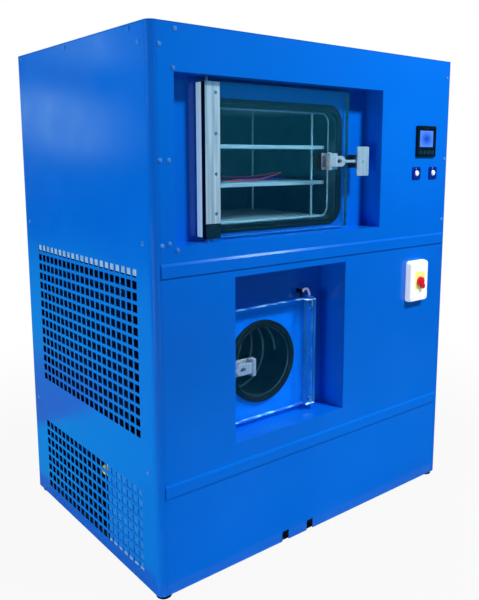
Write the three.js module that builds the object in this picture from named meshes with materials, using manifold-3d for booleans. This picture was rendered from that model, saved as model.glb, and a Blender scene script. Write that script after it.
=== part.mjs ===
// Freeze dryer: a shelf chamber behind a clear swing door above, a round ice condenser below,
// and the refrigeration and vacuum plant behind the punched grilles of the left side.
//
// Millimetres, +Z up. Pieces are laid out from the front-left corner of the cabinet at floor
// level: x runs to the right, y runs back from the front face, z runs up. The finished group is
// then moved so that its origin is the middle of the footprint, with the front facing -Y.

import * as THREE from "three";
import { mergeGeometries, mergeVertices } from "three/addons/utils/BufferGeometryUtils.js";
import Module from "manifold-3d";

const wasm = await Module();
wasm.setup();

// ---------------------------------------------------------------- driving dimensions

const cabinet = { width: 1120, depth: 770, height: 1400, sheet: 2 };
const ground = 12; // floor to the lower edge of the panels
const seam = 0.3; // gap between neighbouring pieces
const running = 0.6; // radial gap of a pin in its bore

const cornerPost = { radius: 18, leg: 20, wall: 2.5, lip: 16 };
const lap = { height: 34, proud: 3.3, crease: 6, tuck: 22 };
const lowerSection = 271; // floor to the lower seam of the front
const upperSection = 580; // upper seam of the front to the roof

const frameTube = 40; // height and width of the base frame's members
const frameFloor = 3; // plate that carries the plant
const rearPost = 30;

const grille = { hole: 20, pitch: 29, front: 81, rear: 70 };
const upperGrille = { rows: 15, belowRoof: 566 };
const lowerGrille = { rows: 8, bottom: 46 };

const upperRecess = { left: 64, right: 335, sill: 72, head: 108, depth: 67 };
const lowerRecess = { width: 404, shift: 15, sill: 84, head: 20, depth: 100 };
const recessFlange = 14;

const upperDoor = { side: 102, sill: 7, head: 9, front: 40, thickness: 22 };
const lowerDoor = { hingeSide: 65, latchSide: 30, sill: 18, head: 110, front: 70, thickness: 18 };
const doorCorner = 6;

const mouth = { hingeSide: 42, latchSide: 32, sill: 28, head: 58, corner: 30 };
const seal = { width: 20, squeeze: 0.3 };
const chamber = { neck: 30, step: 14, depth: 400, wall: 3, flange: 10, flangeThick: 4 };
const shelf = { thickness: 10, count: 3, side: 20, front: 8, depth: 330, floorGap: 7, roofGap: 5 };
const rackRod = { radius: 4, inset: 27, collarRadius: 8, collar: 4 };

const lead = { radius: 2, boss: 12, bossRadius: 6, steps: 28 };

const vessel = {
  sealRadius: 118,
  fromDoorEdge: 14,
  belowDoorMiddle: 4,
  lip: 14, // the bore is this much wider than the mouth
  wall: 4,
  flange: 12,
  flangeThick: 6,
  depth: 400,
  saddle: 12,
  sides: 24,
};
const coil = { tube: 10, turns: 5, pitch: 55, start: 60 };
const duct = { radius: 50, wall: 3, reach: 100, bend: 75, collar: 20, collarThick: 8 };

const hinge = { bar: 45, lowerBar: 35, thick: 16, pinInset: 10, pin: 4, topGap: 3 };
const pivot = { reach: 22, half: 8, arm: 6, riser: 20, plate: 4 };
const latch = {
  pin: 4,
  pinOff: 18,
  ear: 7,
  height: 46,
  base: 4,
  baseBack: 14,
  baseLength: 62,
  eye: 9,
  armHalf: 6,
  shoulder: 56,
  taper: 6,
  window: 8, // half length and half height of the oval in the arm
  windowHigh: 5,
  neck: 8,
  paddle: 4,
  paddleProud: 8,
  keeper: 11,
  keeperGap: 6,
  keeperHalf: 19,
  notch: 2, // room above and below the neck in the keeper
};
const upperPaddle = { pinFromEdge: 95, reach: 153, width: 49, height: 84 };
const lowerPaddle = { pinFromEdge: 69, reach: 90, width: 22, height: 36 };

const controller = { size: 96, fromRight: 127, belowRoof: 252, proud: 6, body: 90, bodyDepth: 60 };
const bezelCorner = 5;
const screen = { width: 67, height: 51, up: 8, recess: 2 };
const button = {
  size: 38,
  proud: 4,
  barrel: 11,
  length: 40,
  bore: 20,
  cap: 9,
  capProud: 3,
  travel: 3,
};
const buttonRow = { belowController: 50, offset: 41.5 };
const isolator = {
  width: 90,
  height: 131,
  depth: 20,
  base: 8,
  fromRight: 156,
  belowSeam: 112,
  draft: 2,
  corner: 12,
};
const warningPlate = 1.2; // room behind the isolator knob for its label plate
const knob = {
  radius: 15,
  height: 9,
  lever: 26,
  leverWidth: 15,
  leverProud: 2,
  turned: Math.PI / 6, // the lever points down and to the right
  shaft: 4,
  shaftDepth: 10,
};

const pot = {
  radius: 105,
  height: 250,
  x: 210,
  y: 300,
  sole: 79,
  dish: 34,
  seamHeight: 112,
  seam: 5,
  seamWidth: 8,
  crown: 63,
  shoulder: 45,
  plate: 8,
  port: 9,
  portReach: 25,
  portHeight: 175,
};
const pump = {
  x: 700,
  y: 180,
  foot: 12,
  caseLength: 150,
  caseHalf: 60,
  caseRise: 68,
  motorLength: 180,
  motorRadius: 75,
  motorLift: 20,
  fins: 6,
  fin: 5,
  finProud: 8,
  finLength: 132,
  inlet: 16,
  inletRise: 40,
};
const exchanger = {
  thick: 44,
  width: 460,
  height: 440,
  fins: 16,
  fin: 3,
  rim: 14,
  inset: 4,
  standOff: 14,
};
const fan = {
  radius: 165,
  hub: 42,
  blades: 5,
  width: 34,
  blade: 3,
  pitch: Math.PI / 5,
  root: 6,
  tip: 6,
  motor: 40,
  motorLength: 70,
  shaft: 5,
  shroud: 60,
  ring: 8,
  bar: 14,
  barThick: 6,
};

const deck = { lip: 25, front: 42, below: 12, frontSaddle: 60, rearSaddle: 82 };
const gland = { fromRight: 140, height: 160, radius: 16, length: 26, nut: 3, wall: 4, inside: 18 };
const drain = { first: 416, second: 511, notchWidth: 24, notchHeight: 30, radius: 9, bore: 4 };
const drainSpout = { proud: 6, wall: 2, flange: 1, floor: 3 };
const ventPort = { fromRight: 97, belowHead: 88, radius: 7, length: 24, elbow: 4, drop: 20, inset: 8 };
const foot = { radius: 20, pad: 5, collar: 3, stem: 6, stemLength: 24 };

// ---------------------------------------------------------------- materials

const finish = (color, roughness, metalness) =>
  new THREE.MeshStandardMaterial({ color, roughness, metalness });

const bluePaint = finish(0x0a6ce0, 0.35, 0.0);
const darkSteel = finish(0x3a4046, 0.5, 0.8);
const stainless = finish(0xb9c0c4, 0.3, 1.0);
const brushedAluminium = finish(0xc2ccd2, 0.35, 1.0);
const sealRubber = finish(0x101416, 0.7, 0.0);
const blackPlastic = finish(0x14181c, 0.45, 0.0);
const whitePlastic = finish(0xf2f4f5, 0.4, 0.0);
const redPlastic = finish(0xe0142c, 0.35, 0.0);
const redJacket = finish(0xb8182e, 0.5, 0.0);
const blueJacket = finish(0x1c34a8, 0.5, 0.0);
const screenGlass = finish(0x6aa6ff, 0.15, 0.0);
const litPlastic = finish(0xeaf6ff, 0.25, 0.0);
const potPaint = finish(0x16181a, 0.4, 0.2);
const acrylic = new THREE.MeshStandardMaterial({
  color: 0x9fc4c8,
  roughness: 0.05,
  metalness: 0.0,
  transparent: true,
  opacity: 0.35,
});

// ---------------------------------------------------------------- solids

// A closed three.js geometry as a manifold solid; zero-area triangles at a lathe's axis go.
function solidOf(geometry) {
  const bare = new THREE.BufferGeometry();
  bare.setAttribute("position", geometry.getAttribute("position"));
  if (geometry.index) bare.setIndex(geometry.index);
  const merged = mergeVertices(bare, 1e-3);
  const index = merged.index.array;
  const kept = [];
  for (let i = 0; i < index.length; i += 3) {
    const [a, b, c] = [index[i], index[i + 1], index[i + 2]];
    if (a !== b && b !== c && c !== a) kept.push(a, b, c);
  }
  return new wasm.Manifold(
    new wasm.Mesh({
      numProp: 3,
      vertProperties: new Float32Array(merged.getAttribute("position").array),
      triVerts: new Uint32Array(kept),
    }),
  );
}

// A solid as a three.js geometry with flat faces.
function geometryOf(solid) {
  const mesh = solid.getMesh();
  const geometry = new THREE.BufferGeometry();
  const position = new Float32Array(mesh.numVert * 3);
  for (let i = 0; i < mesh.numVert; i++)
    for (let k = 0; k < 3; k++)
      position[3 * i + k] = mesh.vertProperties[mesh.numProp * i + k];
  geometry.setAttribute("position", new THREE.BufferAttribute(position, 3));
  geometry.setIndex(new THREE.BufferAttribute(new Uint32Array(mesh.triVerts), 1));
  const flat = geometry.toNonIndexed();
  flat.computeVertexNormals();
  return flat;
}

const joined = (...solids) => solids.reduce((whole, next) => whole.add(next));
const cut = (solid, ...tools) => tools.reduce((rest, tool) => rest.subtract(tool), solid);

const along = {
  x: new THREE.Matrix4().makeBasis(
    new THREE.Vector3(0, 1, 0),
    new THREE.Vector3(0, 0, 1),
    new THREE.Vector3(1, 0, 0),
  ),
  y: new THREE.Matrix4().makeBasis(
    new THREE.Vector3(0, 0, 1),
    new THREE.Vector3(1, 0, 0),
    new THREE.Vector3(0, 1, 0),
  ),
  z: new THREE.Matrix4(),
};

function block(x0, x1, y0, y1, z0, z1) {
  const geometry = new THREE.BoxGeometry(x1 - x0, y1 - y0, z1 - z0);
  geometry.translate((x0 + x1) / 2, (y0 + y1) / 2, (z0 + z1) / 2);
  return solidOf(geometry);
}

// A plan outline (x, y) raised from z0 to z1.
function planPrism(outline, z0, z1, segments = 2) {
  const geometry = new THREE.ExtrudeGeometry(outline, {
    depth: z1 - z0,
    bevelEnabled: false,
    curveSegments: segments,
  });
  geometry.translate(0, 0, z0);
  return solidOf(geometry);
}

// A front outline (x, z) taken back from y0 to y1.
function frontPrism(outline, y0, y1, segments = 2) {
  const geometry = new THREE.ExtrudeGeometry(outline, {
    depth: y1 - y0,
    bevelEnabled: false,
    curveSegments: segments,
  });
  geometry.rotateX(Math.PI / 2);
  geometry.translate(0, y1, 0);
  return solidOf(geometry);
}

// A side outline (y, z) taken across from x0 to x1.
function sidePrism(outline, x0, x1, segments = 2) {
  const geometry = new THREE.ExtrudeGeometry(outline, {
    depth: x1 - x0,
    bevelEnabled: false,
    curveSegments: segments,
  });
  geometry.applyMatrix4(along.x);
  geometry.translate(x0, 0, 0);
  return solidOf(geometry);
}

// A round bar along an axis, from one point by a length.
function rod(axis, x, y, z, length, radius, sides = 16, endRadius = radius) {
  const geometry = new THREE.CylinderGeometry(endRadius, radius, length, sides);
  geometry.rotateX(Math.PI / 2);
  geometry.translate(0, 0, length / 2);
  geometry.applyMatrix4(along[axis]);
  geometry.translate(x, y, z);
  return solidOf(geometry);
}

// A turned form: [radius, distance] points swept round an axis through (x, y, z).
function turned(axis, x, y, z, profile, sides = 24) {
  const points = profile.map(([radius, distance]) => new THREE.Vector2(radius, distance));
  const geometry = new THREE.LatheGeometry(points, sides);
  geometry.rotateX(Math.PI / 2);
  geometry.applyMatrix4(along[axis]);
  geometry.translate(x, y, z);
  return solidOf(geometry);
}

function polygon(points) {
  return new THREE.Shape(points.map(([a, b]) => new THREE.Vector2(a, b)));
}

// A rectangle with rounded corners.
function roundedOutline(a0, a1, b0, b1, radius) {
  const shape = new THREE.Shape();
  shape.moveTo(a0 + radius, b0);
  shape.lineTo(a1 - radius, b0);
  shape.absarc(a1 - radius, b0 + radius, radius, -Math.PI / 2, 0);
  shape.lineTo(a1, b1 - radius);
  shape.absarc(a1 - radius, b1 - radius, radius, 0, Math.PI / 2);
  shape.lineTo(a0 + radius, b1);
  shape.absarc(a0 + radius, b1 - radius, radius, Math.PI / 2, Math.PI);
  shape.lineTo(a0, b0 + radius);
  shape.absarc(a0 + radius, b0 + radius, radius, Math.PI, 1.5 * Math.PI);
  return shape;
}

const machine = new THREE.Group();

function piece(name, solid, material) {
  const mesh = new THREE.Mesh(geometryOf(solid), material);
  mesh.name = name;
  machine.add(mesh);
  return solid;
}

const mirroredX = (solid, middle) => {
  const geometry = geometryOf(solid);
  geometry.applyMatrix4(new THREE.Matrix4().makeScale(-1, 1, 1));
  geometry.translate(2 * middle, 0, 0);
  const position = geometry.getAttribute("position");
  const turnedRound = new Float32Array(position.array.length);
  for (let i = 0; i < position.count; i++) {
    const from = i % 3 === 0 ? i : i % 3 === 1 ? i + 1 : i - 1;
    turnedRound.set(position.array.slice(3 * from, 3 * from + 3), 3 * i);
  }
  geometry.setAttribute("position", new THREE.BufferAttribute(turnedRound, 3));
  return solidOf(geometry);
};

// ---------------------------------------------------------------- levels shared by the pieces

const { width, depth, height, sheet } = cabinet;
const roof = height - sheet - seam; // top of everything under the roof panel
const lowerSeam = lowerSection;
const upperSeam = height - upperSection;
const panelSeat = sheet + seam; // front of what lies behind a panel
const frameInset = panelSeat + cornerPost.wall + seam;
const frameTop = ground + frameTube;
const rearInner = depth - sheet - seam;

const recessUp = {
  x0: upperRecess.left,
  x1: width - upperRecess.right,
  z0: upperSeam + upperRecess.sill,
  z1: height - upperRecess.head,
  back: upperRecess.depth,
};
const recessMiddle = (recessUp.x0 + recessUp.x1) / 2 + lowerRecess.shift;
const recessLow = {
  x0: recessMiddle - lowerRecess.width / 2,
  x1: recessMiddle + lowerRecess.width / 2,
  z0: lowerSeam + lowerRecess.sill,
  z1: upperSeam - lowerRecess.head,
  back: lowerRecess.depth,
};
const doorUp = {
  x0: recessUp.x0 + upperDoor.side,
  x1: recessUp.x1 - upperDoor.side,
  z0: recessUp.z0 + upperDoor.sill,
  z1: recessUp.z1 - upperDoor.head,
  y0: upperDoor.front,
  y1: upperDoor.front + upperDoor.thickness,
};
const doorLow = {
  x0: recessLow.x0 + lowerDoor.latchSide,
  x1: recessLow.x1 - lowerDoor.hingeSide,
  z0: recessLow.z0 + lowerDoor.sill,
  z1: recessLow.z1 - lowerDoor.head,
  y0: lowerDoor.front,
  y1: lowerDoor.front + lowerDoor.thickness,
};
const mouthUp = {
  x0: doorUp.x0 + mouth.hingeSide,
  x1: doorUp.x1 - mouth.latchSide,
  z0: doorUp.z0 + mouth.sill,
  z1: doorUp.z1 - mouth.head,
};
const vesselAxis = {
  x: doorLow.x0 + vessel.fromDoorEdge + vessel.sealRadius,
  z: (doorLow.z0 + doorLow.z1) / 2 - vessel.belowDoorMiddle,
};
const vesselFront = recessLow.back + sheet + seam;
const controlX = width - controller.fromRight;
const controllerZ = height - controller.belowRoof;
const buttonZ = controllerZ - controller.size / 2 - buttonRow.belowController;

// ---------------------------------------------------------------- frame and feet

function buildFrame() {
  const [x0, x1, y0, y1] = [frameInset, width - frameInset, frameInset, rearInner];
  const chamfer = 6;
  const outline = polygon([
    [x0 + chamfer, y0],
    [x1 - chamfer, y0],
    [x1, y0 + chamfer],
    [x1, y1],
    [x0, y1],
    [x0, y0 + chamfer],
  ]);
  const inner = block(
    x0 + frameTube,
    x1 - frameTube,
    y0 + frameTube,
    y1 - frameTube,
    ground - 1,
    frameTop - frameFloor,
  );
  const footXs = [x0 + frameTube / 2, x1 - frameTube / 2];
  const footYs = [y0 + frameTube / 2, y1 - frameTube / 2];
  const bores = footXs.flatMap((x) =>
    footYs.map((y) => rod("z", x, y, ground - 1, foot.stemLength + 2, foot.stem + running, 8)),
  );
  piece("base_frame", cut(planPrism(outline, ground, frameTop), inner, ...bores), darkSteel);

  const footProfile = [
    [0, 0],
    [foot.radius, 0],
    [foot.radius, foot.pad],
    [foot.stem + foot.collar, ground - seam],
    [foot.stem, ground - seam],
    [foot.stem, ground + foot.stemLength],
    [0, ground + foot.stemLength],
  ];
  const names = ["foot_front_left", "foot_rear_left", "foot_front_right", "foot_rear_right"];
  let next = 0;
  for (const x of footXs)
    for (const y of footYs) piece(names[next++], turned("z", x, y, 0, footProfile, 12), sealRubber);
}

function buildCornerPosts() {
  const { radius, leg, wall, lip } = cornerPost;
  const seat = panelSeat;
  const outline = new THREE.Shape();
  outline.moveTo(0, leg);
  outline.lineTo(0, radius);
  outline.absarc(radius, radius, radius, Math.PI, 1.5 * Math.PI);
  outline.lineTo(leg, 0);
  outline.lineTo(leg, seat);
  outline.lineTo(leg + lip, seat);
  outline.lineTo(leg + lip, seat + wall);
  outline.lineTo(leg, seat + wall);
  outline.lineTo(radius, wall);
  outline.absarc(radius, radius, radius - wall, 1.5 * Math.PI, Math.PI, true);
  outline.lineTo(seat + wall, leg);
  outline.lineTo(seat + wall, leg + lip);
  outline.lineTo(seat, leg + lip);
  outline.lineTo(seat, leg);
  outline.closePath();
  const left = planPrism(outline, ground, roof, 3);
  piece("corner_post_front_left", left, bluePaint);
  piece("corner_post_front_right", mirroredX(left, width / 2), bluePaint);
}

// Two rear uprights joined by a rail under the roof.
function buildRearFrame() {
  const [x0, x1] = [panelSeat, width - panelSeat];
  const [y0, y1] = [rearInner - rearPost, rearInner];
  const [z0, z1] = [frameTop + seam, roof];
  piece(
    "rear_frame",
    joined(
      block(x0, x0 + rearPost, y0, y1, z0, z1),
      block(x1 - rearPost, x1, y0, y1, z0, z1),
      block(x0, x1, y0, y1, z1 - rearPost, z1),
    ),
    darkSteel,
  );
}

// ---------------------------------------------------------------- skin

// The lapped strip along the lower edge of a front panel, joggled out over the panel below.
function lapStrip(x0, x1, bottom) {
  const top = bottom + lap.height;
  const outline = polygon([
    [0, top + 4],
    [0, top],
    [-lap.proud, top - lap.crease],
    [-lap.proud, bottom],
    [sheet - lap.proud, bottom],
    [sheet - lap.proud, top - lap.crease - 1],
    [sheet, top - 1],
    [sheet, top + 4],
  ]);
  return sidePrism(outline, x0, x1);
}

function buildFrontPanels() {
  const [x0, x1] = [cornerPost.leg + seam, width - cornerPost.leg - seam];
  const sheetBetween = (z0, z1) => block(x0, x1, 0, sheet, z0, z1);
  const opening = (r) => block(r.x0, r.x1, -1, sheet + 1, r.z0, r.z1);

  const notches = [drain.first, drain.second].map((x) =>
    block(x - drain.notchWidth / 2, x + drain.notchWidth / 2, -1, sheet + 1, 0,
      ground + drain.notchHeight),
  );
  piece(
    "lower_front_panel",
    cut(sheetBetween(ground, lowerSeam + lap.tuck), ...notches),
    bluePaint,
  );
  piece(
    "middle_front_panel",
    cut(
      joined(
        sheetBetween(lowerSeam + lap.height, upperSeam + lap.tuck),
        lapStrip(x0, x1, lowerSeam),
      ),
      opening(recessLow),
    ),
    bluePaint,
  );

  const half = controller.body / 2 + 1;
  const controllerHole = block(controlX - half, controlX + half, -1, sheet + 1,
    controllerZ - half, controllerZ + half);
  const buttonHoles = [-1, 1].map((side) =>
    rod("y", controlX + side * buttonRow.offset, -1, buttonZ, sheet + 2,
      button.barrel + 1, 12),
  );
  piece(
    "upper_front_panel",
    cut(
      joined(sheetBetween(upperSeam + lap.height, roof), lapStrip(x0, x1, upperSeam)),
      opening(recessUp),
      controllerHole,
      ...buttonHoles,
    ),
    bluePaint,
  );
}

// A folded box open to the front, with a flange behind the panel and a hole in its back.
function recessLiner(r, backHole) {
  return cut(
    joined(
      block(r.x0 - sheet, r.x1 + sheet, panelSeat, r.back + sheet, r.z0 - sheet, r.z1 + sheet),
      block(r.x0 - recessFlange, r.x1 + recessFlange, panelSeat, panelSeat + sheet,
        r.z0 - recessFlange, r.z1 + recessFlange),
    ),
    block(r.x0, r.x1, 0, r.back, r.z0, r.z1),
    backHole,
  );
}

const sealHole = seal.width + 1; // the hole in a liner's back, past the mouth's edge

function mouthOutline(grow) {
  return roundedOutline(mouthUp.x0 - grow, mouthUp.x1 + grow, mouthUp.z0 - grow,
    mouthUp.z1 + grow, mouth.corner + grow);
}

function buildRecesses() {
  piece(
    "upper_recess_liner",
    recessLiner(recessUp, frontPrism(mouthOutline(sealHole), recessUp.back - 1,
      recessUp.back + sheet + 1)),
    bluePaint,
  );
  const roundHole = rod("y", vesselAxis.x, recessLow.back - 1, vesselAxis.z, sheet + 2,
    vessel.sealRadius + 1, vessel.sides);
  piece("lower_recess_liner", recessLiner(recessLow, roundHole), bluePaint);
}

// Punches for one grid of square holes in the left side, as one tool of separate blocks.
function punches(columns, bottom, rows) {
  const blocks = [];
  for (let column = 0; column < columns; column++)
    for (let row = 0; row < rows; row++) {
      const punch = new THREE.BoxGeometry(sheet + 2, grille.hole, grille.hole);
      const y = grille.front + column * grille.pitch + grille.hole / 2;
      const z = bottom + row * grille.pitch + grille.hole / 2;
      punch.translate(sheet / 2, y, z);
      blocks.push(punch);
    }
  return solidOf(mergeGeometries(blocks));
}

function buildSidePanels() {
  const y0 = cornerPost.leg + seam;
  const room = depth - grille.rear - grille.front;
  const columns = Math.floor((room + grille.pitch - grille.hole) / grille.pitch);
  const upperBottom = height - upperGrille.belowRoof - upperGrille.rows * grille.pitch +
    (grille.pitch - grille.hole);
  piece(
    "left_side_panel",
    cut(
      block(0, sheet, y0, depth, ground, roof),
      punches(columns, upperBottom, upperGrille.rows),
      punches(columns, lowerGrille.bottom, lowerGrille.rows),
    ),
    bluePaint,
  );
  piece("right_side_panel", block(width - sheet, width, y0, depth, ground, roof), bluePaint);
}

function buildRearPanelAndRoof() {
  const x0 = sheet + seam;
  const glandX = width - gland.fromRight;
  const bore = rod("y", glandX, depth - sheet - 1, gland.height, sheet + 2,
    gland.radius - gland.wall + seam, 12);
  piece(
    "rear_panel",
    cut(block(x0, width - x0, depth - sheet, depth, ground, roof), bore),
    bluePaint,
  );

  const { radius } = cornerPost;
  const outline = new THREE.Shape();
  outline.moveTo(radius, 0);
  outline.lineTo(width - radius, 0);
  outline.absarc(width - radius, radius, radius, -Math.PI / 2, 0);
  outline.lineTo(width, depth);
  outline.lineTo(0, depth);
  outline.lineTo(0, radius);
  outline.absarc(radius, radius, radius, Math.PI, 1.5 * Math.PI);
  piece("roof_panel", planPrism(outline, height - sheet, height, 3), bluePaint);

  const collar = gland.radius + gland.nut;
  const inner = gland.radius - gland.wall;
  piece(
    "cable_gland",
    turned("y", glandX, 0, gland.height, [
      [0, depth - sheet - gland.inside],
      [inner, depth - sheet - gland.inside],
      [inner, depth + seam],
      [collar, depth + seam],
      [collar, depth + gland.length / 3],
      [gland.radius, depth + gland.length / 3 + 1],
      [gland.radius, depth + gland.length - 2 * gland.nut],
      [gland.radius - 2 * gland.nut, depth + gland.length],
      [0, depth + gland.length],
    ], 12),
    blackPlastic,
  );
}

// A pressed tray across the cabinet, with two welded saddles under the ice condenser.
const deckTop = recessLow.z0 - sheet - deck.below;
const vesselBack = vesselFront + vessel.depth;
const vesselBore = vessel.sealRadius - seal.width + vessel.lip;

function saddle(y) {
  const lean = vesselBore + vessel.wall + seam;
  const { x, z } = vesselAxis;
  const half = lean * 0.8;
  const cradle = block(x - half, x + half, y, y + vessel.saddle, deckTop - 1, z - lean * 0.5);
  const round = lean / Math.cos(Math.PI / vessel.sides);
  return cut(cradle, rod("y", x, y - 1, z, vessel.saddle + 2, round, vessel.sides));
}

function buildDeck() {
  const top = deckTop;
  const [x0, x1] = [panelSeat, width - panelSeat];
  const [y0, y1] = [deck.front, rearInner - rearPost - seam];
  const under = top - sheet - deck.lip;
  const tray = cut(
    block(x0, x1, y0, y1, under, top),
    block(x0 + sheet, x1 - sheet, y0 + sheet, y1 - sheet, under - 1, top - sheet),
  );
  piece(
    "equipment_deck",
    joined(tray, saddle(vesselFront + deck.frontSaddle), saddle(vesselBack - deck.rearSaddle)),
    darkSteel,
  );
}

// ---------------------------------------------------------------- product chamber

const neckFront = recessUp.back + sheet + seam;
const chamberFront = neckFront + chamber.neck;
const bodyIn = {
  x0: mouthUp.x0 - chamber.step,
  x1: mouthUp.x1 + chamber.step,
  z0: mouthUp.z0 - chamber.step,
  z1: mouthUp.z1 + chamber.step,
  y0: chamberFront,
  y1: chamberFront + chamber.depth,
};
const ductTop = (bodyIn.z0 + bodyIn.z1) / 2;

function buildChamber() {
  const { wall, flange, flangeThick } = chamber;
  const shell = joined(
    frontPrism(mouthOutline(seal.width + flange), neckFront, neckFront + flangeThick),
    frontPrism(mouthOutline(wall), neckFront, chamberFront),
    block(bodyIn.x0 - wall, bodyIn.x1 + wall, chamberFront - wall, bodyIn.y1 + wall,
      bodyIn.z0 - wall, bodyIn.z1 + wall),
  );
  const port = rod("y", vesselAxis.x, bodyIn.y1 - 1, ductTop, wall + 2, duct.radius - duct.wall, 16);
  const hollow = cut(
    shell,
    frontPrism(mouthOutline(0), neckFront - 1, chamberFront + 1),
    block(bodyIn.x0, bodyIn.x1, bodyIn.y0, bodyIn.y1, bodyIn.z0, bodyIn.z1),
    port,
  );
  const bosses = Object.values(leadRoutes).map(([[x, , rise]]) =>
    rod("y", vesselAxis.x + x, bodyIn.y1 - lead.boss, leadLie() + rise,
      lead.boss + 1, lead.bossRadius, 8),
  );
  piece("product_chamber", joined(hollow, ...bosses), stainless);
  piece(
    "chamber_seal",
    cut(
      frontPrism(mouthOutline(seal.width), doorUp.y1 + seal.squeeze, neckFront - seam),
      frontPrism(mouthOutline(0), doorUp.y1 - 1, neckFront + 1),
    ),
    sealRubber,
  );
}

// Four rods with a collar under each shelf, hung from a top plate of the shelves' own size.
function buildShelves() {
  const [x0, x1] = [bodyIn.x0 + shelf.side, bodyIn.x1 - shelf.side];
  const y0 = bodyIn.y0 + shelf.front;
  const y1 = y0 + shelf.depth;
  const levels = shelfLevels();
  const highest = levels.pop();
  const corners = [x0 + rackRod.inset, x1 - rackRod.inset].flatMap((x) =>
    [y0 + rackRod.inset, y1 - rackRod.inset].map((y) => [x, y]),
  );
  const plate = (z) => block(x0, x1, y0, y1, z, z + shelf.thickness);

  const rods = corners.map(([x, y]) => {
    const profile = [[0, bodyIn.z0 + seam], [rackRod.radius, bodyIn.z0 + seam]];
    for (const z of levels) {
      const under = z - seam;
      profile.push([rackRod.radius, under - rackRod.collar]);
      profile.push([rackRod.collarRadius, under - rackRod.collar]);
      profile.push([rackRod.collarRadius, under], [rackRod.radius, under]);
    }
    profile.push([rackRod.radius, highest + 1], [0, highest + 1]);
    return turned("z", x, y, 0, profile, 6);
  });
  piece("shelf_rack", joined(plate(highest), ...rods), stainless);

  const bores = corners.map(([x, y]) =>
    rod("z", x, y, bodyIn.z0, bodyIn.z1 - bodyIn.z0, rackRod.radius + 2 * running, 6),
  );
  ["lower_shelf", "middle_shelf", "upper_shelf"].forEach((name, i) => {
    piece(name, cut(plate(levels[i]), ...bores), brushedAluminium);
  });
}

// Two thin temperature probe leads lying loose on the middle shelf; each leaves a gland boss on
// the chamber's rear wall, beside the vapour port. Points are [x, y, rise]: x from the port's
// middle, y from the boss towards the door, and the rise above the shelf where the lead arches.
const leadRoutes = {
  probe_lead_red: [[100, 0, 6], [100, -24, 6], [102, -52, 4], [112, -84, 2], [128, -116, 2],
    [150, -148, 5], [176, -178, 10], [196, -208, 16], [198, -236, 19], [178, -258, 18],
    [148, -270, 13], [114, -279, 8], [80, -286, 3], [44, -293, 1], [6, -300, 0],
    [-30, -308, 0], [-62, -318, 0]],
  probe_lead_blue: [[140, 0, 6], [140, -24, 6], [141, -52, 4], [148, -82, 2], [162, -112, 0.5],
    [182, -140, 0], [204, -166, 0], [218, -196, 0], [219, -226, 0], [206, -252, 0],
    [182, -264, 0], [154, -262, 0], [126, -252, 0], [100, -242, 0], [74, -236, 0],
    [48, -234, 0]],
};

function shelfLevels() {
  const lowest = bodyIn.z0 + shelf.floorGap;
  const highest = bodyIn.z1 - shelf.roofGap - shelf.thickness;
  const pitch = (highest - lowest) / shelf.count;
  return Array.from({ length: shelf.count + 1 }, (_, i) => lowest + i * pitch);
}

// Height of a lead's middle line where it lies on the middle shelf.
const leadLie = () => shelfLevels()[1] + shelf.thickness + 2 * seam + lead.radius;

function buildProbeLeads() {
  const lie = leadLie();
  const wallFace = bodyIn.y1 - lead.boss - seam;
  for (const [name, route] of Object.entries(leadRoutes)) {
    const points = route.map(([x, y, rise]) =>
      new THREE.Vector3(vesselAxis.x + x, wallFace + y, lie + rise),
    );
    const section = new THREE.Shape();
    section.absarc(0, 0, lead.radius, 0, 2 * Math.PI);
    const tube = new THREE.ExtrudeGeometry(section, {
      steps: lead.steps,
      curveSegments: 4,
      extrudePath: new THREE.CatmullRomCurve3(points),
    });
    piece(name, solidOf(tube), name.endsWith("red") ? redJacket : blueJacket);
  }
}

// ---------------------------------------------------------------- ice condenser

function buildCondenser() {
  const { sealRadius, wall, flange, flangeThick, sides } = vessel;
  const { x, z } = vesselAxis;
  const lipRadius = sealRadius - seal.width;
  const bore = vesselBore;
  const back = vesselBack;
  const shell = turned("y", x, 0, z, [
    [lipRadius, vesselFront],
    [sealRadius + flange, vesselFront],
    [sealRadius + flange, vesselFront + flangeThick],
    [bore + wall, vesselFront + flangeThick],
    [bore + wall, back],
    [0, back],
    [0, back - wall],
    [bore, back - wall],
    [bore, vesselFront + flangeThick + vessel.lip],
    [lipRadius, vesselFront + flangeThick],
    [lipRadius, vesselFront],
  ], sides);
  const port = rod("y", x, back - wall - 1, z, wall + 2, duct.radius - duct.wall, 16);
  piece("condenser_vessel", cut(shell, port), stainless);

  piece(
    "condenser_seal",
    turned("y", x, 0, z, [
      [lipRadius, doorLow.y1 + seal.squeeze],
      [sealRadius, doorLow.y1 + seal.squeeze],
      [sealRadius, vesselFront - seam],
      [lipRadius, vesselFront - seam],
      [lipRadius, doorLow.y1 + seal.squeeze],
    ], sides),
    sealRubber,
  );

  class Helix extends THREE.Curve {
    getPoint(t, target = new THREE.Vector3()) {
      const turn = 2 * Math.PI * coil.turns * t;
      const radius = bore * Math.cos(Math.PI / sides) - coil.tube / 2 - seam;
      return target.set(
        x + radius * Math.cos(turn),
        vesselFront + coil.start + coil.pitch * coil.turns * t,
        z + radius * Math.sin(turn),
      );
    }
  }
  const section = new THREE.Shape();
  section.absarc(0, 0, coil.tube / 2, 0, 2 * Math.PI);
  const coilGeometry = new THREE.ExtrudeGeometry(section, {
    steps: 10 * coil.turns,
    curveSegments: 3,
    extrudePath: new Helix(),
  });
  piece("ice_coil", solidOf(coilGeometry), brushedAluminium);
}

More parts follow.
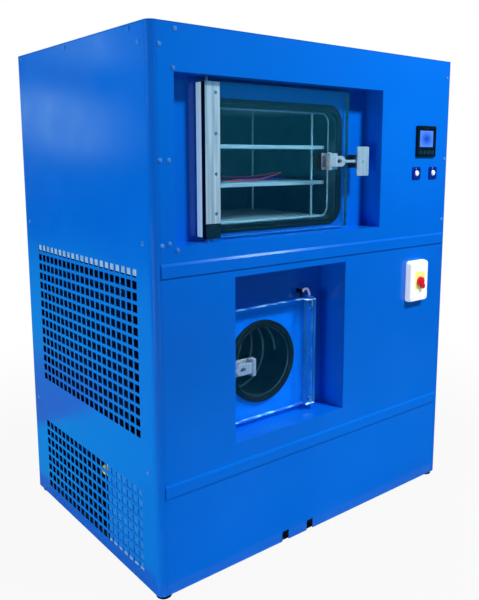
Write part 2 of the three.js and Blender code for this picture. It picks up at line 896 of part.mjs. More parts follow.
// The vapour pipe: back from the chamber, down, and forward into the ice condenser.
function buildDuct() {
  const { radius, wall, bend, collar, collarThick } = duct;
  const x = vesselAxis.x;
  const start = bodyIn.y1 + chamber.wall + seam;
  const end = vesselBack + seam;
  const run = Math.max(start, end) + duct.reach;
  const at = (y, z) => new THREE.Vector3(x, y, z);
  const path = new THREE.CurvePath();
  path.add(new THREE.LineCurve3(at(start, ductTop), at(run - bend, ductTop)));
  path.add(new THREE.QuadraticBezierCurve3(at(run - bend, ductTop), at(run, ductTop),
    at(run, ductTop - bend)));
  path.add(new THREE.LineCurve3(at(run, ductTop - bend), at(run, vesselAxis.z + bend)));
  path.add(new THREE.QuadraticBezierCurve3(at(run, vesselAxis.z + bend),
    at(run, vesselAxis.z), at(run - bend, vesselAxis.z)));
  path.add(new THREE.LineCurve3(at(run - bend, vesselAxis.z), at(end, vesselAxis.z)));

  const section = (r) => {
    const round = new THREE.Shape();
    round.absarc(0, 0, r, 0, 2 * Math.PI);
    return round;
  };
  const swept = (r) =>
    solidOf(new THREE.ExtrudeGeometry(section(r), {
      steps: 14,
      curveSegments: 4,
      extrudePath: path,
    }));
  const flangeAt = (y, z) => rod("y", x, y, z, collarThick, radius + collar, 12);
  const borePlug = (y, z) => rod("y", x, y - 1, z, collarThick + 2, radius - wall, 8);
  piece(
    "vapour_duct",
    cut(
      joined(swept(radius), flangeAt(start, ductTop), flangeAt(end, vesselAxis.z)),
      swept(radius - wall),
      borePlug(start, ductTop),
      borePlug(end, vesselAxis.z),
    ),
    stainless,
  );
}

// ---------------------------------------------------------------- plant

function buildCompressor() {
  const { radius, height: tall, x, y } = pot;
  const base = frameTop + seam;
  const shell = turned("z", x, y, base, [
    [0, pot.plate - 2],
    [pot.sole, pot.plate - 2],
    [radius, pot.plate - 2 + pot.dish],
    [radius, pot.seamHeight],
    [radius + pot.seam, pot.seamHeight],
    [radius + pot.seam, pot.seamHeight + pot.seamWidth],
    [radius, pot.seamHeight + pot.seamWidth],
    [radius, tall - pot.shoulder],
    [pot.crown, tall - 6],
    [0, tall],
  ], 14);
  const plate = block(x - radius, x + radius, y - radius, y + radius, base, base + pot.plate);
  const stub = rod("x", x + radius - 10, y, base + pot.portHeight, pot.portReach + 10, pot.port, 8);
  piece("compressor", joined(shell, plate, stub), potPaint);
}

function buildVacuumPump() {
  const { x, y, motorRadius } = pump;
  const base = frameTop + seam;
  const floor = base + pump.foot;
  const middle = floor + motorRadius + pump.motorLift;
  const split = x + pump.caseLength;
  const end = split + pump.motorLength;
  const motor = rod("x", split, y, middle, pump.motorLength, motorRadius, 12);
  const fins = Array.from({ length: pump.fins }, (_, i) => {
    const turn = (Math.PI * (i + 0.5)) / pump.fins;
    const fin = new THREE.BoxGeometry(pump.finLength, 2 * (motorRadius + pump.finProud), pump.fin);
    fin.rotateX(turn);
    fin.translate((split + end) / 2, y, middle);
    return solidOf(fin);
  });
  const top = middle + pump.caseRise;
  const oilCase = block(x, split + 5, y - pump.caseHalf, y + pump.caseHalf, floor, top);
  const plate = block(x + 20, end - 20, y - pump.caseHalf + 8, y + pump.caseHalf - 8, base,
    floor + 5);
  const pedestal = block(split + 30, end - 40, y - 30, y + 30, floor, middle);
  const inlet = rod("z", x + 50, y, top - 5, pump.inletRise + 5, pump.inlet, 12);
  piece("vacuum_pump", joined(motor, ...fins, oilCase, plate, pedestal, inlet), potPaint);
}

function buildExchanger() {
  const x0 = sheet + exchanger.standOff;
  const x1 = x0 + exchanger.thick;
  const middleY = (grille.front + depth - grille.rear) / 2;
  const [y0, y1] = [middleY - exchanger.width / 2, middleY + exchanger.width / 2];
  const z0 = deckTop + seam;
  const z1 = z0 + exchanger.height;
  const { rim, inset } = exchanger;
  const frame = cut(
    block(x0, x1, y0, y1, z0, z1),
    block(x0 - 1, x1 + 1, y0 + rim, y1 - rim, z0 + rim, z1 - rim),
  );
  const step = (y1 - y0 - 2 * rim) / (exchanger.fins + 1);
  const fins = Array.from({ length: exchanger.fins }, (_, i) => {
    const y = y0 + rim + step * (i + 1);
    return block(x0 + inset, x1 - inset, y, y + exchanger.fin, z0 + rim - 1, z1 - rim + 1);
  });
  piece("heat_exchanger", joined(frame, ...fins), brushedAluminium);

  const s0 = x1 + seam;
  const s1 = s0 + fan.shroud;
  const middleZ = (z0 + z1) / 2;
  const ring = fan.radius + fan.tip;
  const box = cut(
    block(s0, s1, y0, y1, z0, z1),
    block(s0 - 1, s1 - sheet, y0 + sheet, y1 - sheet, z0 + sheet, z1 - sheet),
    rod("x", s0, middleY, middleZ, fan.shroud + 1, ring, 16),
  );
  const bars = [0, Math.PI / 2].map((turn) => {
    const bar = new THREE.BoxGeometry(fan.barThick, 2 * ring + fan.ring, fan.bar);
    bar.rotateX(turn + Math.PI / 4);
    bar.translate(s1 + fan.barThick / 2, middleY, middleZ);
    return solidOf(bar);
  });
  const rimBack = cut(
    rod("x", s1 - sheet, middleY, middleZ, sheet + fan.barThick, ring + fan.ring, 16),
    rod("x", s1 - sheet - 1, middleY, middleZ, sheet + fan.barThick + 2, ring, 16),
  );
  const motor = rod("x", s1, middleY, middleZ, fan.motorLength, fan.motor, 12);
  const shaftLength = fan.width - 4;
  const shaft = rod("x", s1 - shaftLength, middleY, middleZ, shaftLength + 1, fan.shaft, 8);
  piece("fan_shroud", joined(box, rimBack, ...bars, motor, shaft), darkSteel);

  const hubEnd = s1 - seam;
  const hubStart = hubEnd - fan.width;
  const blades = Array.from({ length: fan.blades }, (_, i) => {
    const blade = new THREE.BoxGeometry(fan.width - 4, fan.radius - fan.hub + fan.root, fan.blade);
    blade.rotateY(fan.pitch);
    blade.translate(0, (fan.radius + fan.hub - fan.root) / 2, 0);
    blade.rotateX((2 * Math.PI * i) / fan.blades);
    blade.translate((hubStart + hubEnd) / 2, middleY, middleZ);
    return solidOf(blade);
  });
  piece(
    "fan_rotor",
    cut(
      joined(rod("x", hubStart, middleY, middleZ, fan.width, fan.hub, 12), ...blades),
      rod("x", hubStart + fan.blade, middleY, middleZ, fan.width, fan.shaft + running, 8),
    ),
    blackPlastic,
  );
}

// ---------------------------------------------------------------- doors

const upperPin = { x: doorUp.x0 + hinge.pinInset, y: doorUp.y0 - hinge.thick / 2 };
const lowerPin = { x: doorLow.x1 - hinge.pinInset, y: doorLow.y0 - hinge.thick / 2 };

function hingeBar(x0, x1, door, z0, z1, pin) {
  const bore = rod("z", pin.x, pin.y, z0 - 1, z1 - z0 + 2, hinge.pin + running, 12);
  return cut(block(x0, x1, door.y0 - hinge.thick, door.y0 - seam, z0, z1), bore);
}

function buildUpperDoor() {
  piece(
    "upper_door_plate",
    frontPrism(roundedOutline(doorUp.x0, doorUp.x1, doorUp.z0, doorUp.z1, doorCorner),
      doorUp.y0, doorUp.y1),
    acrylic,
  );
  piece(
    "upper_hinge_bar",
    hingeBar(doorUp.x0, doorUp.x0 + hinge.bar, doorUp, doorUp.z0, doorUp.z1 - hinge.topGap,
      upperPin),
    brushedAluminium,
  );
  piece(
    "upper_hinge_rod",
    rod("z", upperPin.x, upperPin.y, recessUp.z0 + seam, recessUp.z1 - recessUp.z0 - 2 * seam,
      hinge.pin, 12),
    stainless,
  );
}

// The lower door's clear bar turns on two short pins, one in each painted bracket.
function buildLowerDoor() {
  const { x, y } = lowerPin;
  const { half, reach } = pivot;
  piece(
    "lower_door_plate",
    frontPrism(roundedOutline(doorLow.x0, doorLow.x1, doorLow.z0, doorLow.z1, doorCorner),
      doorLow.y0, doorLow.y1),
    acrylic,
  );
  piece(
    "lower_hinge_bar",
    hingeBar(doorLow.x1 - hinge.lowerBar, doorLow.x1, doorLow, doorLow.z0, doorLow.z1, lowerPin),
    acrylic,
  );
  const play = 2 * seam;
  const underArm = doorLow.z1 + play;
  const wallFace = recessLow.back - seam;
  piece(
    "lower_hinge_top_bracket",
    joined(
      block(x - half, x + half, y - half, wallFace, underArm, underArm + pivot.arm),
      block(x - half, x + half, wallFace - pivot.plate, wallFace, underArm,
        underArm + pivot.riser),
      rod("z", x, y, underArm - reach, reach + 1, hinge.pin, 12),
    ),
    bluePaint,
  );
  const topFace = doorLow.z0 - play;
  piece(
    "lower_hinge_bottom_bracket",
    joined(
      block(x - half, x + half, y - half, y + half, recessLow.z0 + seam, topFace),
      rod("z", x, y, topFace - 1, reach + 1, hinge.pin, 12),
    ),
    bluePaint,
  );
}

// Latch parts for an arm that points along +x; the lower door's are the mirror image.
function latchBracket(edge, front, middleZ, paddle) {
  const pinX = edge - paddle.pinFromEdge;
  const pinY = front - latch.pinOff;
  const [z0, z1] = [middleZ - latch.height / 2, middleZ + latch.height / 2];
  const back = front - seam;
  const ear = (bottom) => {
    const outline = new THREE.Shape();
    outline.moveTo(pinX - latch.eye, back - 1);
    outline.lineTo(pinX - latch.eye, pinY);
    outline.absarc(pinX, pinY, latch.eye, Math.PI, 2 * Math.PI);
    outline.lineTo(pinX + latch.eye, back - 1);
    outline.closePath();
    return planPrism(outline, bottom, bottom + latch.ear, 3);
  };
  return joined(
    block(pinX - latch.baseBack, pinX - latch.baseBack + latch.baseLength, back - latch.base,
      back, z0, z1),
    ear(z0),
    ear(z1 - latch.ear),
    rod("z", pinX, pinY, z0 + 1, latch.height - 2, latch.pin, 12),
  );
}

function latchArm(edge, front, middleZ, paddle) {
  const pinX = edge - paddle.pinFromEdge;
  const pinY = front - latch.pinOff;
  const half = latch.height / 2 - latch.ear - 2 * seam;
  const end = pinX + paddle.reach;
  const [y0, y1] = [pinY - latch.armHalf, pinY + latch.armHalf];
  const shoulder = pinX + Math.min(latch.shoulder, paddle.reach - paddle.width);
  const bend = (shoulder - pinX) / 4;
  const neck = latch.neck / 2;
  const outline = new THREE.Shape();
  outline.moveTo(pinX, middleZ - half);
  outline.lineTo(shoulder - bend, middleZ - half);
  outline.quadraticCurveTo(shoulder, middleZ - half, shoulder + latch.taper, middleZ - neck);
  outline.lineTo(end - latch.paddle, middleZ - neck);
  outline.lineTo(end - latch.paddle, middleZ + neck);
  outline.lineTo(shoulder + latch.taper, middleZ + neck);
  outline.quadraticCurveTo(shoulder, middleZ + half, shoulder - bend, middleZ + half);
  outline.lineTo(pinX, middleZ + half);
  outline.closePath();
  const oval = new THREE.Path();
  oval.absellipse(shoulder - bend - latch.window / 2, middleZ, latch.window, latch.windowHigh,
    0, 2 * Math.PI, true);
  outline.holes.push(oval);
  const plateY = pinY - latch.paddle - latch.paddleProud;
  const plate = roundedOutline(end - paddle.width, end, middleZ - paddle.height / 2,
    middleZ + paddle.height / 2, latch.paddle);
  const postX = end - paddle.width / 2;
  const post = block(postX - neck, postX + neck, pinY - latch.paddleProud - 1, pinY,
    middleZ - neck, middleZ + neck);
  return cut(
    joined(
      frontPrism(outline, y0, y1, 3),
      rod("z", pinX, pinY, middleZ - half, 2 * half, latch.eye, 12),
      post,
      frontPrism(plate, plateY, plateY + latch.paddle, 1),
    ),
    rod("z", pinX, pinY, middleZ - half - 1, 2 * half + 2, latch.pin + running, 12),
  );
}

// A catch block with a notch open to the front, in which the arm's neck rests.
function latchKeeper(edge, front, middleZ, paddle, wallFace) {
  const pinY = front - latch.pinOff;
  const x0 = edge + latch.keeperGap;
  const x1 = x0 + latch.keeper;
  const half = latch.neck / 2 + latch.notch;
  const high = latch.keeperHalf;
  const front0 = pinY - latch.armHalf - 1;
  return cut(
    block(x0, x1, front0, wallFace - seam, middleZ - high, middleZ + high),
    block(x0 - 1, x1 + 1, front0 - 1, pinY + latch.armHalf + latch.notch, middleZ - half,
      middleZ + half),
  );
}

function buildLatches() {
  const upZ = (doorUp.z0 + doorUp.z1) / 2 - 3;
  piece("upper_latch_bracket", latchBracket(doorUp.x1, doorUp.y0, upZ, upperPaddle),
    stainless);
  piece("upper_latch_arm", latchArm(doorUp.x1, doorUp.y0, upZ, upperPaddle), stainless);
  piece(
    "upper_latch_keeper",
    latchKeeper(doorUp.x1, doorUp.y0, upZ, upperPaddle, recessUp.back),
    stainless,
  );

  const lowZ = (doorLow.z0 + doorLow.z1) / 2;
  const flip = (solid) => mirroredX(solid, doorLow.x0);
  piece("lower_latch_bracket", flip(latchBracket(doorLow.x0, doorLow.y0, lowZ, lowerPaddle)),
    stainless);
  piece("lower_latch_arm", flip(latchArm(doorLow.x0, doorLow.y0, lowZ, lowerPaddle)), stainless);
  piece(
    "lower_latch_keeper",
    flip(latchKeeper(doorLow.x0, doorLow.y0, lowZ, lowerPaddle, recessLow.back)),
    stainless,
  );
}

// ---------------------------------------------------------------- controls

function buildController() {
  const half = controller.size / 2;
  const body = controller.body / 2;
  const screenZ = controllerZ + screen.up;
  const bezel = frontPrism(
    roundedOutline(controlX - half, controlX + half, controllerZ - half, controllerZ + half,
      bezelCorner),
    -controller.proud,
    -seam,
  );
  const window = block(controlX - screen.width / 2, controlX + screen.width / 2,
    -controller.proud - 1, -controller.proud + screen.recess + 1,
    screenZ - screen.height / 2, screenZ + screen.height / 2);
  piece(
    "controller_housing",
    cut(
      joined(bezel, block(controlX - body, controlX + body, -seam - 1, controller.bodyDepth,
        controllerZ - body, controllerZ + body)),
      window,
    ),
    blackPlastic,
  );
  piece(
    "controller_screen",
    block(controlX - screen.width / 2 + seam, controlX + screen.width / 2 - seam,
      -controller.proud + screen.recess - 1, -controller.proud + screen.recess + 1 - seam,
      screenZ - screen.height / 2 + seam, screenZ + screen.height / 2 - seam),
    screenGlass,
  );
}

function buildButtons() {
  const names = ["start", "stop"];
  names.forEach((name, i) => {
    const x = controlX + (i === 0 ? -1 : 1) * buttonRow.offset;
    const half = button.size / 2;
    const outline = roundedOutline(x - half, x + half, buttonZ - half, buttonZ + half,
      bezelCorner);
    const bore = button.cap + running;
    piece(
      `${name}_button_bezel`,
      cut(
        joined(
          frontPrism(outline, -button.proud, -seam, 1),
          rod("y", x, -1, buttonZ, button.length, button.barrel, 12),
        ),
        rod("y", x, -button.proud - 1, buttonZ, button.proud + button.bore, bore, 12),
      ),
      blackPlastic,
    );
    piece(
      `${name}_button`,
      rod("y", x, -button.proud - button.capProud, buttonZ,
        button.capProud + button.proud + button.bore - 1 - button.travel - seam, button.cap, 12),
      litPlastic,
    );
  });
}

function buildIsolator() {
  const x = width - isolator.fromRight;
  const z = upperSeam - isolator.belowSeam;
  const corners = (shrink, y) => [
    [x - isolator.width / 2 + shrink, y, z - isolator.height / 2 + shrink],
    [x + isolator.width / 2 - shrink, y, z + isolator.height / 2 - shrink],
  ];
  const outline = ([low, high]) =>
    roundedOutline(low[0], high[0], low[2], high[2], isolator.corner);
  const base = frontPrism(outline(corners(0, 0)), -isolator.base, -seam);
  const lid = frontPrism(outline(corners(isolator.draft, 0)), -isolator.depth, -isolator.base + 1);
  const shaftHole = rod("y", x, -isolator.depth - 1, z, knob.shaftDepth + 1,
    knob.shaft + running, 12);
  piece("isolator_box", cut(joined(base, lid), shaftHole), whitePlastic);

  const knobBack = -isolator.depth - warningPlate - seam;
  const lever = new THREE.Shape();
  lever.moveTo(-knob.leverWidth / 2, 0);
  lever.lineTo(-knob.leverWidth / 2, -knob.lever + knob.leverWidth / 2);
  lever.absarc(0, -knob.lever + knob.leverWidth / 2, knob.leverWidth / 2, Math.PI, 2 * Math.PI);
  lever.lineTo(knob.leverWidth / 2, 0);
  lever.closePath();
  const leverGeometry = new THREE.ExtrudeGeometry(lever, {
    depth: knob.height + knob.leverProud,
    bevelEnabled: false,
    curveSegments: 5,
  });
  leverGeometry.rotateZ(knob.turned);
  leverGeometry.rotateX(Math.PI / 2);
  leverGeometry.translate(x, knobBack, z);
  const shaft = rod("y", x, knobBack - 1, z, warningPlate + seam + knob.shaftDepth, knob.shaft,
    12);
  piece(
    "isolator_knob",
    joined(
      rod("y", x, knobBack - knob.height, z, knob.height, knob.radius, 20),
      solidOf(leverGeometry),
      shaft,
    ),
    redPlastic,
  );
  return knobBack - knob.height - knob.leverProud;
}

// ---------------------------------------------------------------- small fittings

// Drain outlets in the notches of the lower panel and a vent elbow on the lower recess's wall.
function buildFittings() {
  const seat = frameInset - seam;
  ["drain_outlet_left", "drain_outlet_right"].forEach((name, i) => {
    const x = [drain.first, drain.second][i];
    const z = ground + drain.notchHeight / 2;
    const { proud, wall, flange, floor } = drainSpout;
    const body = turned("y", x, 0, z, [
      [drain.bore, -proud],
      [drain.bore + wall, -proud],
      [drain.bore + wall, -flange],
      [drain.radius, -flange],
      [drain.radius, seat],
      [0, seat],
      [0, seat - floor],
      [drain.bore, seat - floor],
      [drain.bore, -proud],
    ], 10);
    piece(name, body, blackPlastic);
  });

  const x = recessLow.x1 - ventPort.fromRight;
  const z = recessLow.z1 - ventPort.belowHead;
  const wallFace = recessLow.back - seam;
  const tip = wallFace - ventPort.length;
  const body = rod("y", x, tip, z, ventPort.length, ventPort.radius, 12);
  const nozzle = rod("z", x, tip + ventPort.inset, z - ventPort.drop, ventPort.drop,
    ventPort.elbow, 8);
  piece("vent_port", joined(body, nozzle), blackPlastic);
}

// ---------------------------------------------------------------- assembly

buildFrame();
buildCornerPosts();
buildRearFrame();
buildFrontPanels();
buildRecesses();
buildSidePanels();
buildRearPanelAndRoof();
buildDeck();
buildChamber();
buildShelves();
buildProbeLeads();
buildCondenser();
buildDuct();
buildCompressor();
buildVacuumPump();
buildExchanger();
buildUpperDoor();
buildLowerDoor();
buildLatches();
buildController();
buildButtons();
const frontReach = buildIsolator();
buildFittings();

const backReach = depth + gland.length;
machine.position.set(-width / 2, -(frontReach + backReach) / 2, 0);

export default machine;
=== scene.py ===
# %% [markdown]
# # A laboratory freeze dryer
# A floor-standing steel cabinet holds a shelf chamber behind a thick clear swing door and, below it,
# a round ice condenser behind a smaller one. A pump, a compressor and a fan-cooled heat exchanger fill
# the rest, and breathe through punched grilles in the left side. The CAD frame gives every piece its
# place. This lesson dresses that frame: each cell makes one piece or one finish.

# %% The frame and its size
import math

import bmesh
import bpy
from mathutils import Matrix, Vector


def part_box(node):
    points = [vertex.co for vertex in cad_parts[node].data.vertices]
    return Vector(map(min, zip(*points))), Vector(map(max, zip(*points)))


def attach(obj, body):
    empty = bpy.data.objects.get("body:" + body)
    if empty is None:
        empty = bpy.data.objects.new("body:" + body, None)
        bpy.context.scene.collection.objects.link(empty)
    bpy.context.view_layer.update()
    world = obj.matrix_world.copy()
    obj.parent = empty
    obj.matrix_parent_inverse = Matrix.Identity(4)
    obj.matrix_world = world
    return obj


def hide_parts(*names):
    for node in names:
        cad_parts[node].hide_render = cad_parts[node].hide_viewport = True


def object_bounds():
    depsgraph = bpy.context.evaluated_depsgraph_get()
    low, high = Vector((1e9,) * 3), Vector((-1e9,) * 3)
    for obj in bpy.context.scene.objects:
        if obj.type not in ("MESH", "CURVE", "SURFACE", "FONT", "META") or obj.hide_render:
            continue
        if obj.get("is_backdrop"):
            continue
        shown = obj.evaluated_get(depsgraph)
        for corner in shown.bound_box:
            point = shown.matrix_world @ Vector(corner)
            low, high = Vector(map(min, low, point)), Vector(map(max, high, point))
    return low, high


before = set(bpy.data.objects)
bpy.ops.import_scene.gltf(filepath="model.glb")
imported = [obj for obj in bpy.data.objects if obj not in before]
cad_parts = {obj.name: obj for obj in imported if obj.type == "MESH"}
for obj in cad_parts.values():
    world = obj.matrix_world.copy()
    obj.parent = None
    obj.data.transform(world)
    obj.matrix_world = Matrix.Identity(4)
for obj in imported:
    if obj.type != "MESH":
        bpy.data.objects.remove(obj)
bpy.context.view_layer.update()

scene = bpy.context.scene
scene.view_settings.view_transform = "Standard"

# %% [markdown]
# ## Millimetres from one corner
# Sheet metal is drawn from a corner of the cabinet, so this lesson is too: x runs right from the left
# side, y back from the front face, z up from the floor. `at` reads where a CAD piece lies, and `middle`
# gives its centre.

# %% Where a CAD piece lies, in millimetres
MM = 0.001
SHEET, GAP = 2, 0.3
roof_low, roof_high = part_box("roof_panel")
corner = Vector((roof_low.x, roof_low.y, 0))
WIDE, DEEP, TALL = [round(v / MM, 2) for v in roof_high - corner]


def at(node):
    low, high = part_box(node)
    (x0, y0, z0), (x1, y1, z1) = (low - corner) / MM, (high - corner) / MM
    return x0, x1, y0, y1, z0, z1


def middle(node):
    x0, x1, y0, y1, z0, z1 = at(node)
    return (x0 + x1) / 2, (y0 + y1) / 2, (z0 + z1) / 2


print("cabinet", WIDE, "x", DEEP, "x", TALL, "mm")

# %% [markdown]
# ## The camera
# A standing visitor sees the front and the left side at once. A longish lens keeps the uprights nearly
# parallel; a little lens shift frames the machine without tilting the camera further. A Track To
# constraint could aim it, but three plain angles are enough for one fixed view. It comes first, because
# the leads inside the chamber are judged against what it sees.

# %% A camera at standing height
camera_data = bpy.data.cameras.new("visitor_view")
camera_data.lens = 40.7
camera_data.sensor_width = 36
camera_data.shift_x = -0.0305
camera_data.shift_y = -0.0633
camera = bpy.data.objects.new("visitor_view", camera_data)
camera.location = (-1.351, -1.72175, 1.105)
camera.rotation_euler = [math.radians(a) for a in (90 - 8.95, -0.08, -39.42)]
scene.collection.objects.link(camera)
scene.camera = camera
print("camera at", [round(v, 2) for v in camera.location])

# %% [markdown]
# ## How a finish is made
# Pictures of steel or rubber would need unwrapped meshes and files beside the script. Instead, every
# finish is one Principled shader fed by noise in the object's own coordinates, so it needs no unwrapping
# and stays put when a door swings. Noise drives only what really varies on the part: colour a little,
# gloss more, and a very small relief.

# %% Colours are typed as a painter's chart gives them, 0 to 255
def shade(red, green, blue):
    linear = [
        c / 12.92 if c <= 0.04045 else ((c + 0.055) / 1.055) ** 2.4
        for c in (red / 255, green / 255, blue / 255)
    ]
    return (*linear, 1.0)


# %% A node whose sockets take either a number or another node's output
def add(tree, kind, sockets):
    node = tree.nodes.new("ShaderNode" + kind)
    for socket, value in sockets.items():
        if isinstance(value, bpy.types.NodeSocket):
            tree.links.new(value, node.inputs[socket])
        else:
            node.inputs[socket].default_value = value
    return node


def feed(material, socket, output):
    tree = material.node_tree
    tree.links.new(output, tree.nodes["Principled BSDF"].inputs[socket])
    return material


def mixed(tree, factor, other):
    own = tree.nodes["Principled BSDF"].outputs["BSDF"]
    mix = add(tree, "MixShader", {"Fac": factor, 1: own, 2: other})
    tree.links.new(mix.outputs["Shader"], tree.nodes["Material Output"].inputs["Surface"])


# %% A finish starts from its colour and gloss
def finish(name, colour, roughness, metallic=0.0, specular=0.5, glow=0.0):
    material = bpy.data.materials.new(name)
    material.use_nodes = True
    shader = material.node_tree.nodes["Principled BSDF"]
    shader.inputs["Base Color"].default_value = shade(*colour)
    shader.inputs["Roughness"].default_value = roughness
    shader.inputs["Metallic"].default_value = metallic
    shader.inputs["Specular IOR Level"].default_value = specular
    shader.inputs["Emission Color"].default_value = shade(*colour)
    shader.inputs["Emission Strength"].default_value = glow
    material.diffuse_color = shade(*colour)
    return material


# %% Noise in the object's own space, stretched along an axis for brushing
EVEN = (1, 1, 1)


def cloud(material, per_metre, stretch=EVEN, detail=3.0):
    tree = material.node_tree
    where = add(tree, "TexCoord", {})
    scaled = add(tree, "Mapping",
        {"Vector": where.outputs["Object"], "Scale": [per_metre * s for s in stretch]})
    noise = add(tree, "TexNoise",
        {"Vector": scaled.outputs["Vector"], "Scale": 1.0, "Detail": detail})
    return noise.outputs["Fac"]


# %% Uneven gloss
def mottled(material, low, high, per_metre, stretch=EVEN):
    span = add(material.node_tree, "MapRange", {
        "Value": cloud(material, per_metre, stretch), "From Min": 0.3, "From Max": 0.7,
        "To Min": low, "To Max": high,
    })
    return feed(material, "Roughness", span.outputs["Result"])


# %% Two close shades clouded together, and fine relief in millimetres of height
def clouded(material, one, other, per_metre, stretch=EVEN, span=(0.35, 0.65)):
    ramp = add(material.node_tree, "ValToRGB", {"Fac": cloud(material, per_metre, stretch)})
    for stop, position, colour in zip(ramp.color_ramp.elements, span, (one, other)):
        stop.position = position
        stop.color = shade(*colour)
    return feed(material, "Base Color", ramp.outputs["Color"])


def textured(material, per_metre, height, strength, stretch=EVEN):
    bump = add(material.node_tree, "Bump", {
        "Height": cloud(material, per_metre, stretch, 2.0), "Strength": strength,
        "Distance": height * MM,
    })
    return feed(material, "Normal", bump.outputs["Normal"])


# %% A whole coating: its two shades, its gloss and, where it has any, its relief
def coating(name, colour, roughness, shades, gloss, relief=None, **look):
    material = finish(name, colour, roughness, **look)
    clouded(material, *shades)
    mottled(material, *gloss)
    if relief:
        textured(material, *relief)
    print("finish", name)
    return material


# %% [markdown]
# ## Painted and bare metals
# The sheet steel is stoved in a strong blue with a faint orange peel. Inside the chambers the metal is
# satin stainless steel, darker where two doors and a wall stand between it and the light. Bars and
# shelves are brushed along their length. An anisotropic shader could draw that; noise squeezed along the
# brushing is simpler, and at arm's length it looks the same.

# %% Blue enamel, and a paler enamel on the screw heads: the painted highlight of their domes
enamel = coating("blue_enamel", (0, 105, 221), 0.2, ((0, 103, 218), (0, 107, 224), 2.2),
    (0.16, 0.24, 9.0), (300.0, 0.03, 0.12))
screw_highlight = coating("screw_highlight_enamel", (58, 134, 228), 0.25, ((40, 122, 222), (78, 148, 234), 90.0),
    (0.2, 0.32, 60.0), specular=0.6)
# The slight glow is painted light on the blanking plate, in the shade behind the grille.
plate_blue = coating("plate_blue", (34, 122, 204), 0.5, ((26, 114, 198), (48, 130, 210), 18.0),
    (0.42, 0.58, 60.0), specular=0.2, glow=0.06)

# %% Stainless steel: satin, dark inside the chambers, and polished
steel = coating("satin_stainless", (176, 190, 194), 0.32, ((166, 182, 188), (188, 200, 203), 14.0),
    (0.26, 0.4, 60.0, (1, 1, 0.1)), (900.0, 0.004, 0.12, (1, 1, 0.06)), metallic=1.0)
inner_steel = coating("chamber_stainless", (92, 116, 124), 0.38, ((84, 108, 117), (100, 123, 130), 9.0),
    (0.32, 0.48, 30.0), (900.0, 0.004, 0.1, (0.08, 1, 1)), metallic=1.0)
bright_steel = coating("polished_stainless", (190, 214, 230), 0.24,
    ((178, 204, 222), (204, 224, 236), 300.0, (1, 1, 0.05)), (0.18, 0.3, 500.0, (1, 1, 0.05)),
    metallic=0.5)

# %% Aluminium: brushed bars, brushed shelves and dark blue fins
# The bar's pale, cool shades and slight glow are partly its brushing and partly a painted reflection of
# the teal cards and the room.
brushed = coating("brushed_aluminium", (176, 204, 216), 0.36,
    ((150, 186, 202), (214, 232, 238), 120.0, (1, 1, 0.03)), (0.28, 0.42, 400.0, (1, 1, 0.02)),
    metallic=0.4, glow=0.06)
shelf_metal = coating("shelf_aluminium", (206, 212, 220), 0.42,
    ((194, 202, 212), (218, 223, 228), 500.0, (0.02, 1, 1)), (0.34, 0.5, 400.0, (0.02, 1, 1)),
    (1200.0, 0.01, 0.4, (0.02, 1, 1)), metallic=0.4)
foil = coating("dark_blue_fin_foil", (36, 78, 130), 0.45, ((30, 68, 118), (44, 90, 146), 40.0),
    (0.38, 0.55, 80.0), metallic=0.6)

# %% Copper, brass, zinc and painted steel
copper = coating("copper_pipe", (190, 112, 78), 0.3, ((172, 96, 66), (204, 128, 90), 60.0),
    (0.24, 0.4, 120.0), metallic=1.0)
# The glow is painted light: a glint on the service valve in the shade behind the grille.
brass = coating("brass", (236, 214, 88), 0.3, ((226, 200, 70), (246, 228, 112), 90.0),
    (0.22, 0.38, 150.0), metallic=0.35, glow=0.3)
# The small glow is painted light: it lifts the rail and strip behind the grilles, and the foot stems under
# the cabinet, where shade falls.
zinc = coating("galvanised_steel", (150, 190, 222), 0.42, ((130, 176, 214), (176, 208, 232), 55.0),
    (0.34, 0.52, 90.0), metallic=0.3, glow=0.12)
frame_steel = coating("frame_steel", (52, 58, 64), 0.5, ((46, 51, 57), (60, 66, 72), 20.0),
    (0.42, 0.6, 40.0), (500.0, 0.03, 0.3), metallic=0.7)
pot_black = coating("pot_enamel", (22, 24, 27), 0.4, ((19, 21, 24), (27, 29, 32), 12.0),
    (0.3, 0.5, 30.0), (350.0, 0.06, 0.4))

# %% [markdown]
# ## Rubber and plastics
# Seals and feet are matt black rubber with a fine tooth. Moulded parts carry the light spark texture
# of their tool. White and pale plastics scatter light inside; a subsurface shader would work that out
# slowly, and a little emission of their own colour stands in for it. That glow is painted light, which
# also brightens their sides where the lamps don't reach; the yellow plate and the coloured leads glow
# a little in the same way. The lit caps use the same means.

# %% Rubber and dark plastics
rubber = coating("seal_rubber", (5, 11, 14), 0.62, ((4, 9, 12), (8, 14, 17), 30.0),
    (0.52, 0.72, 60.0), (1400.0, 0.02, 0.4), specular=0.15)
black_plastic = coating("black_plastic", (5, 18, 30), 0.42, ((4, 15, 26), (8, 21, 33), 40.0),
    (0.36, 0.5, 200.0), (2200.0, 0.03, 0.5), specular=0.15)
foot_plastic = coating("foot_plastic", (10, 44, 58), 0.45, ((8, 36, 50), (14, 52, 66), 60.0),
    (0.38, 0.52, 150.0), specular=0.2)
navy_plastic = coating("navy_plastic", (6, 32, 138), 0.42, ((5, 28, 128), (8, 37, 150), 60.0),
    (0.36, 0.5, 200.0), (2200.0, 0.02, 0.4), specular=0.2)
key_plastic = coating("key_membrane", (8, 48, 62), 0.5, ((6, 42, 55), (11, 54, 70), 120.0),
    (0.42, 0.58, 200.0), specular=0.3)
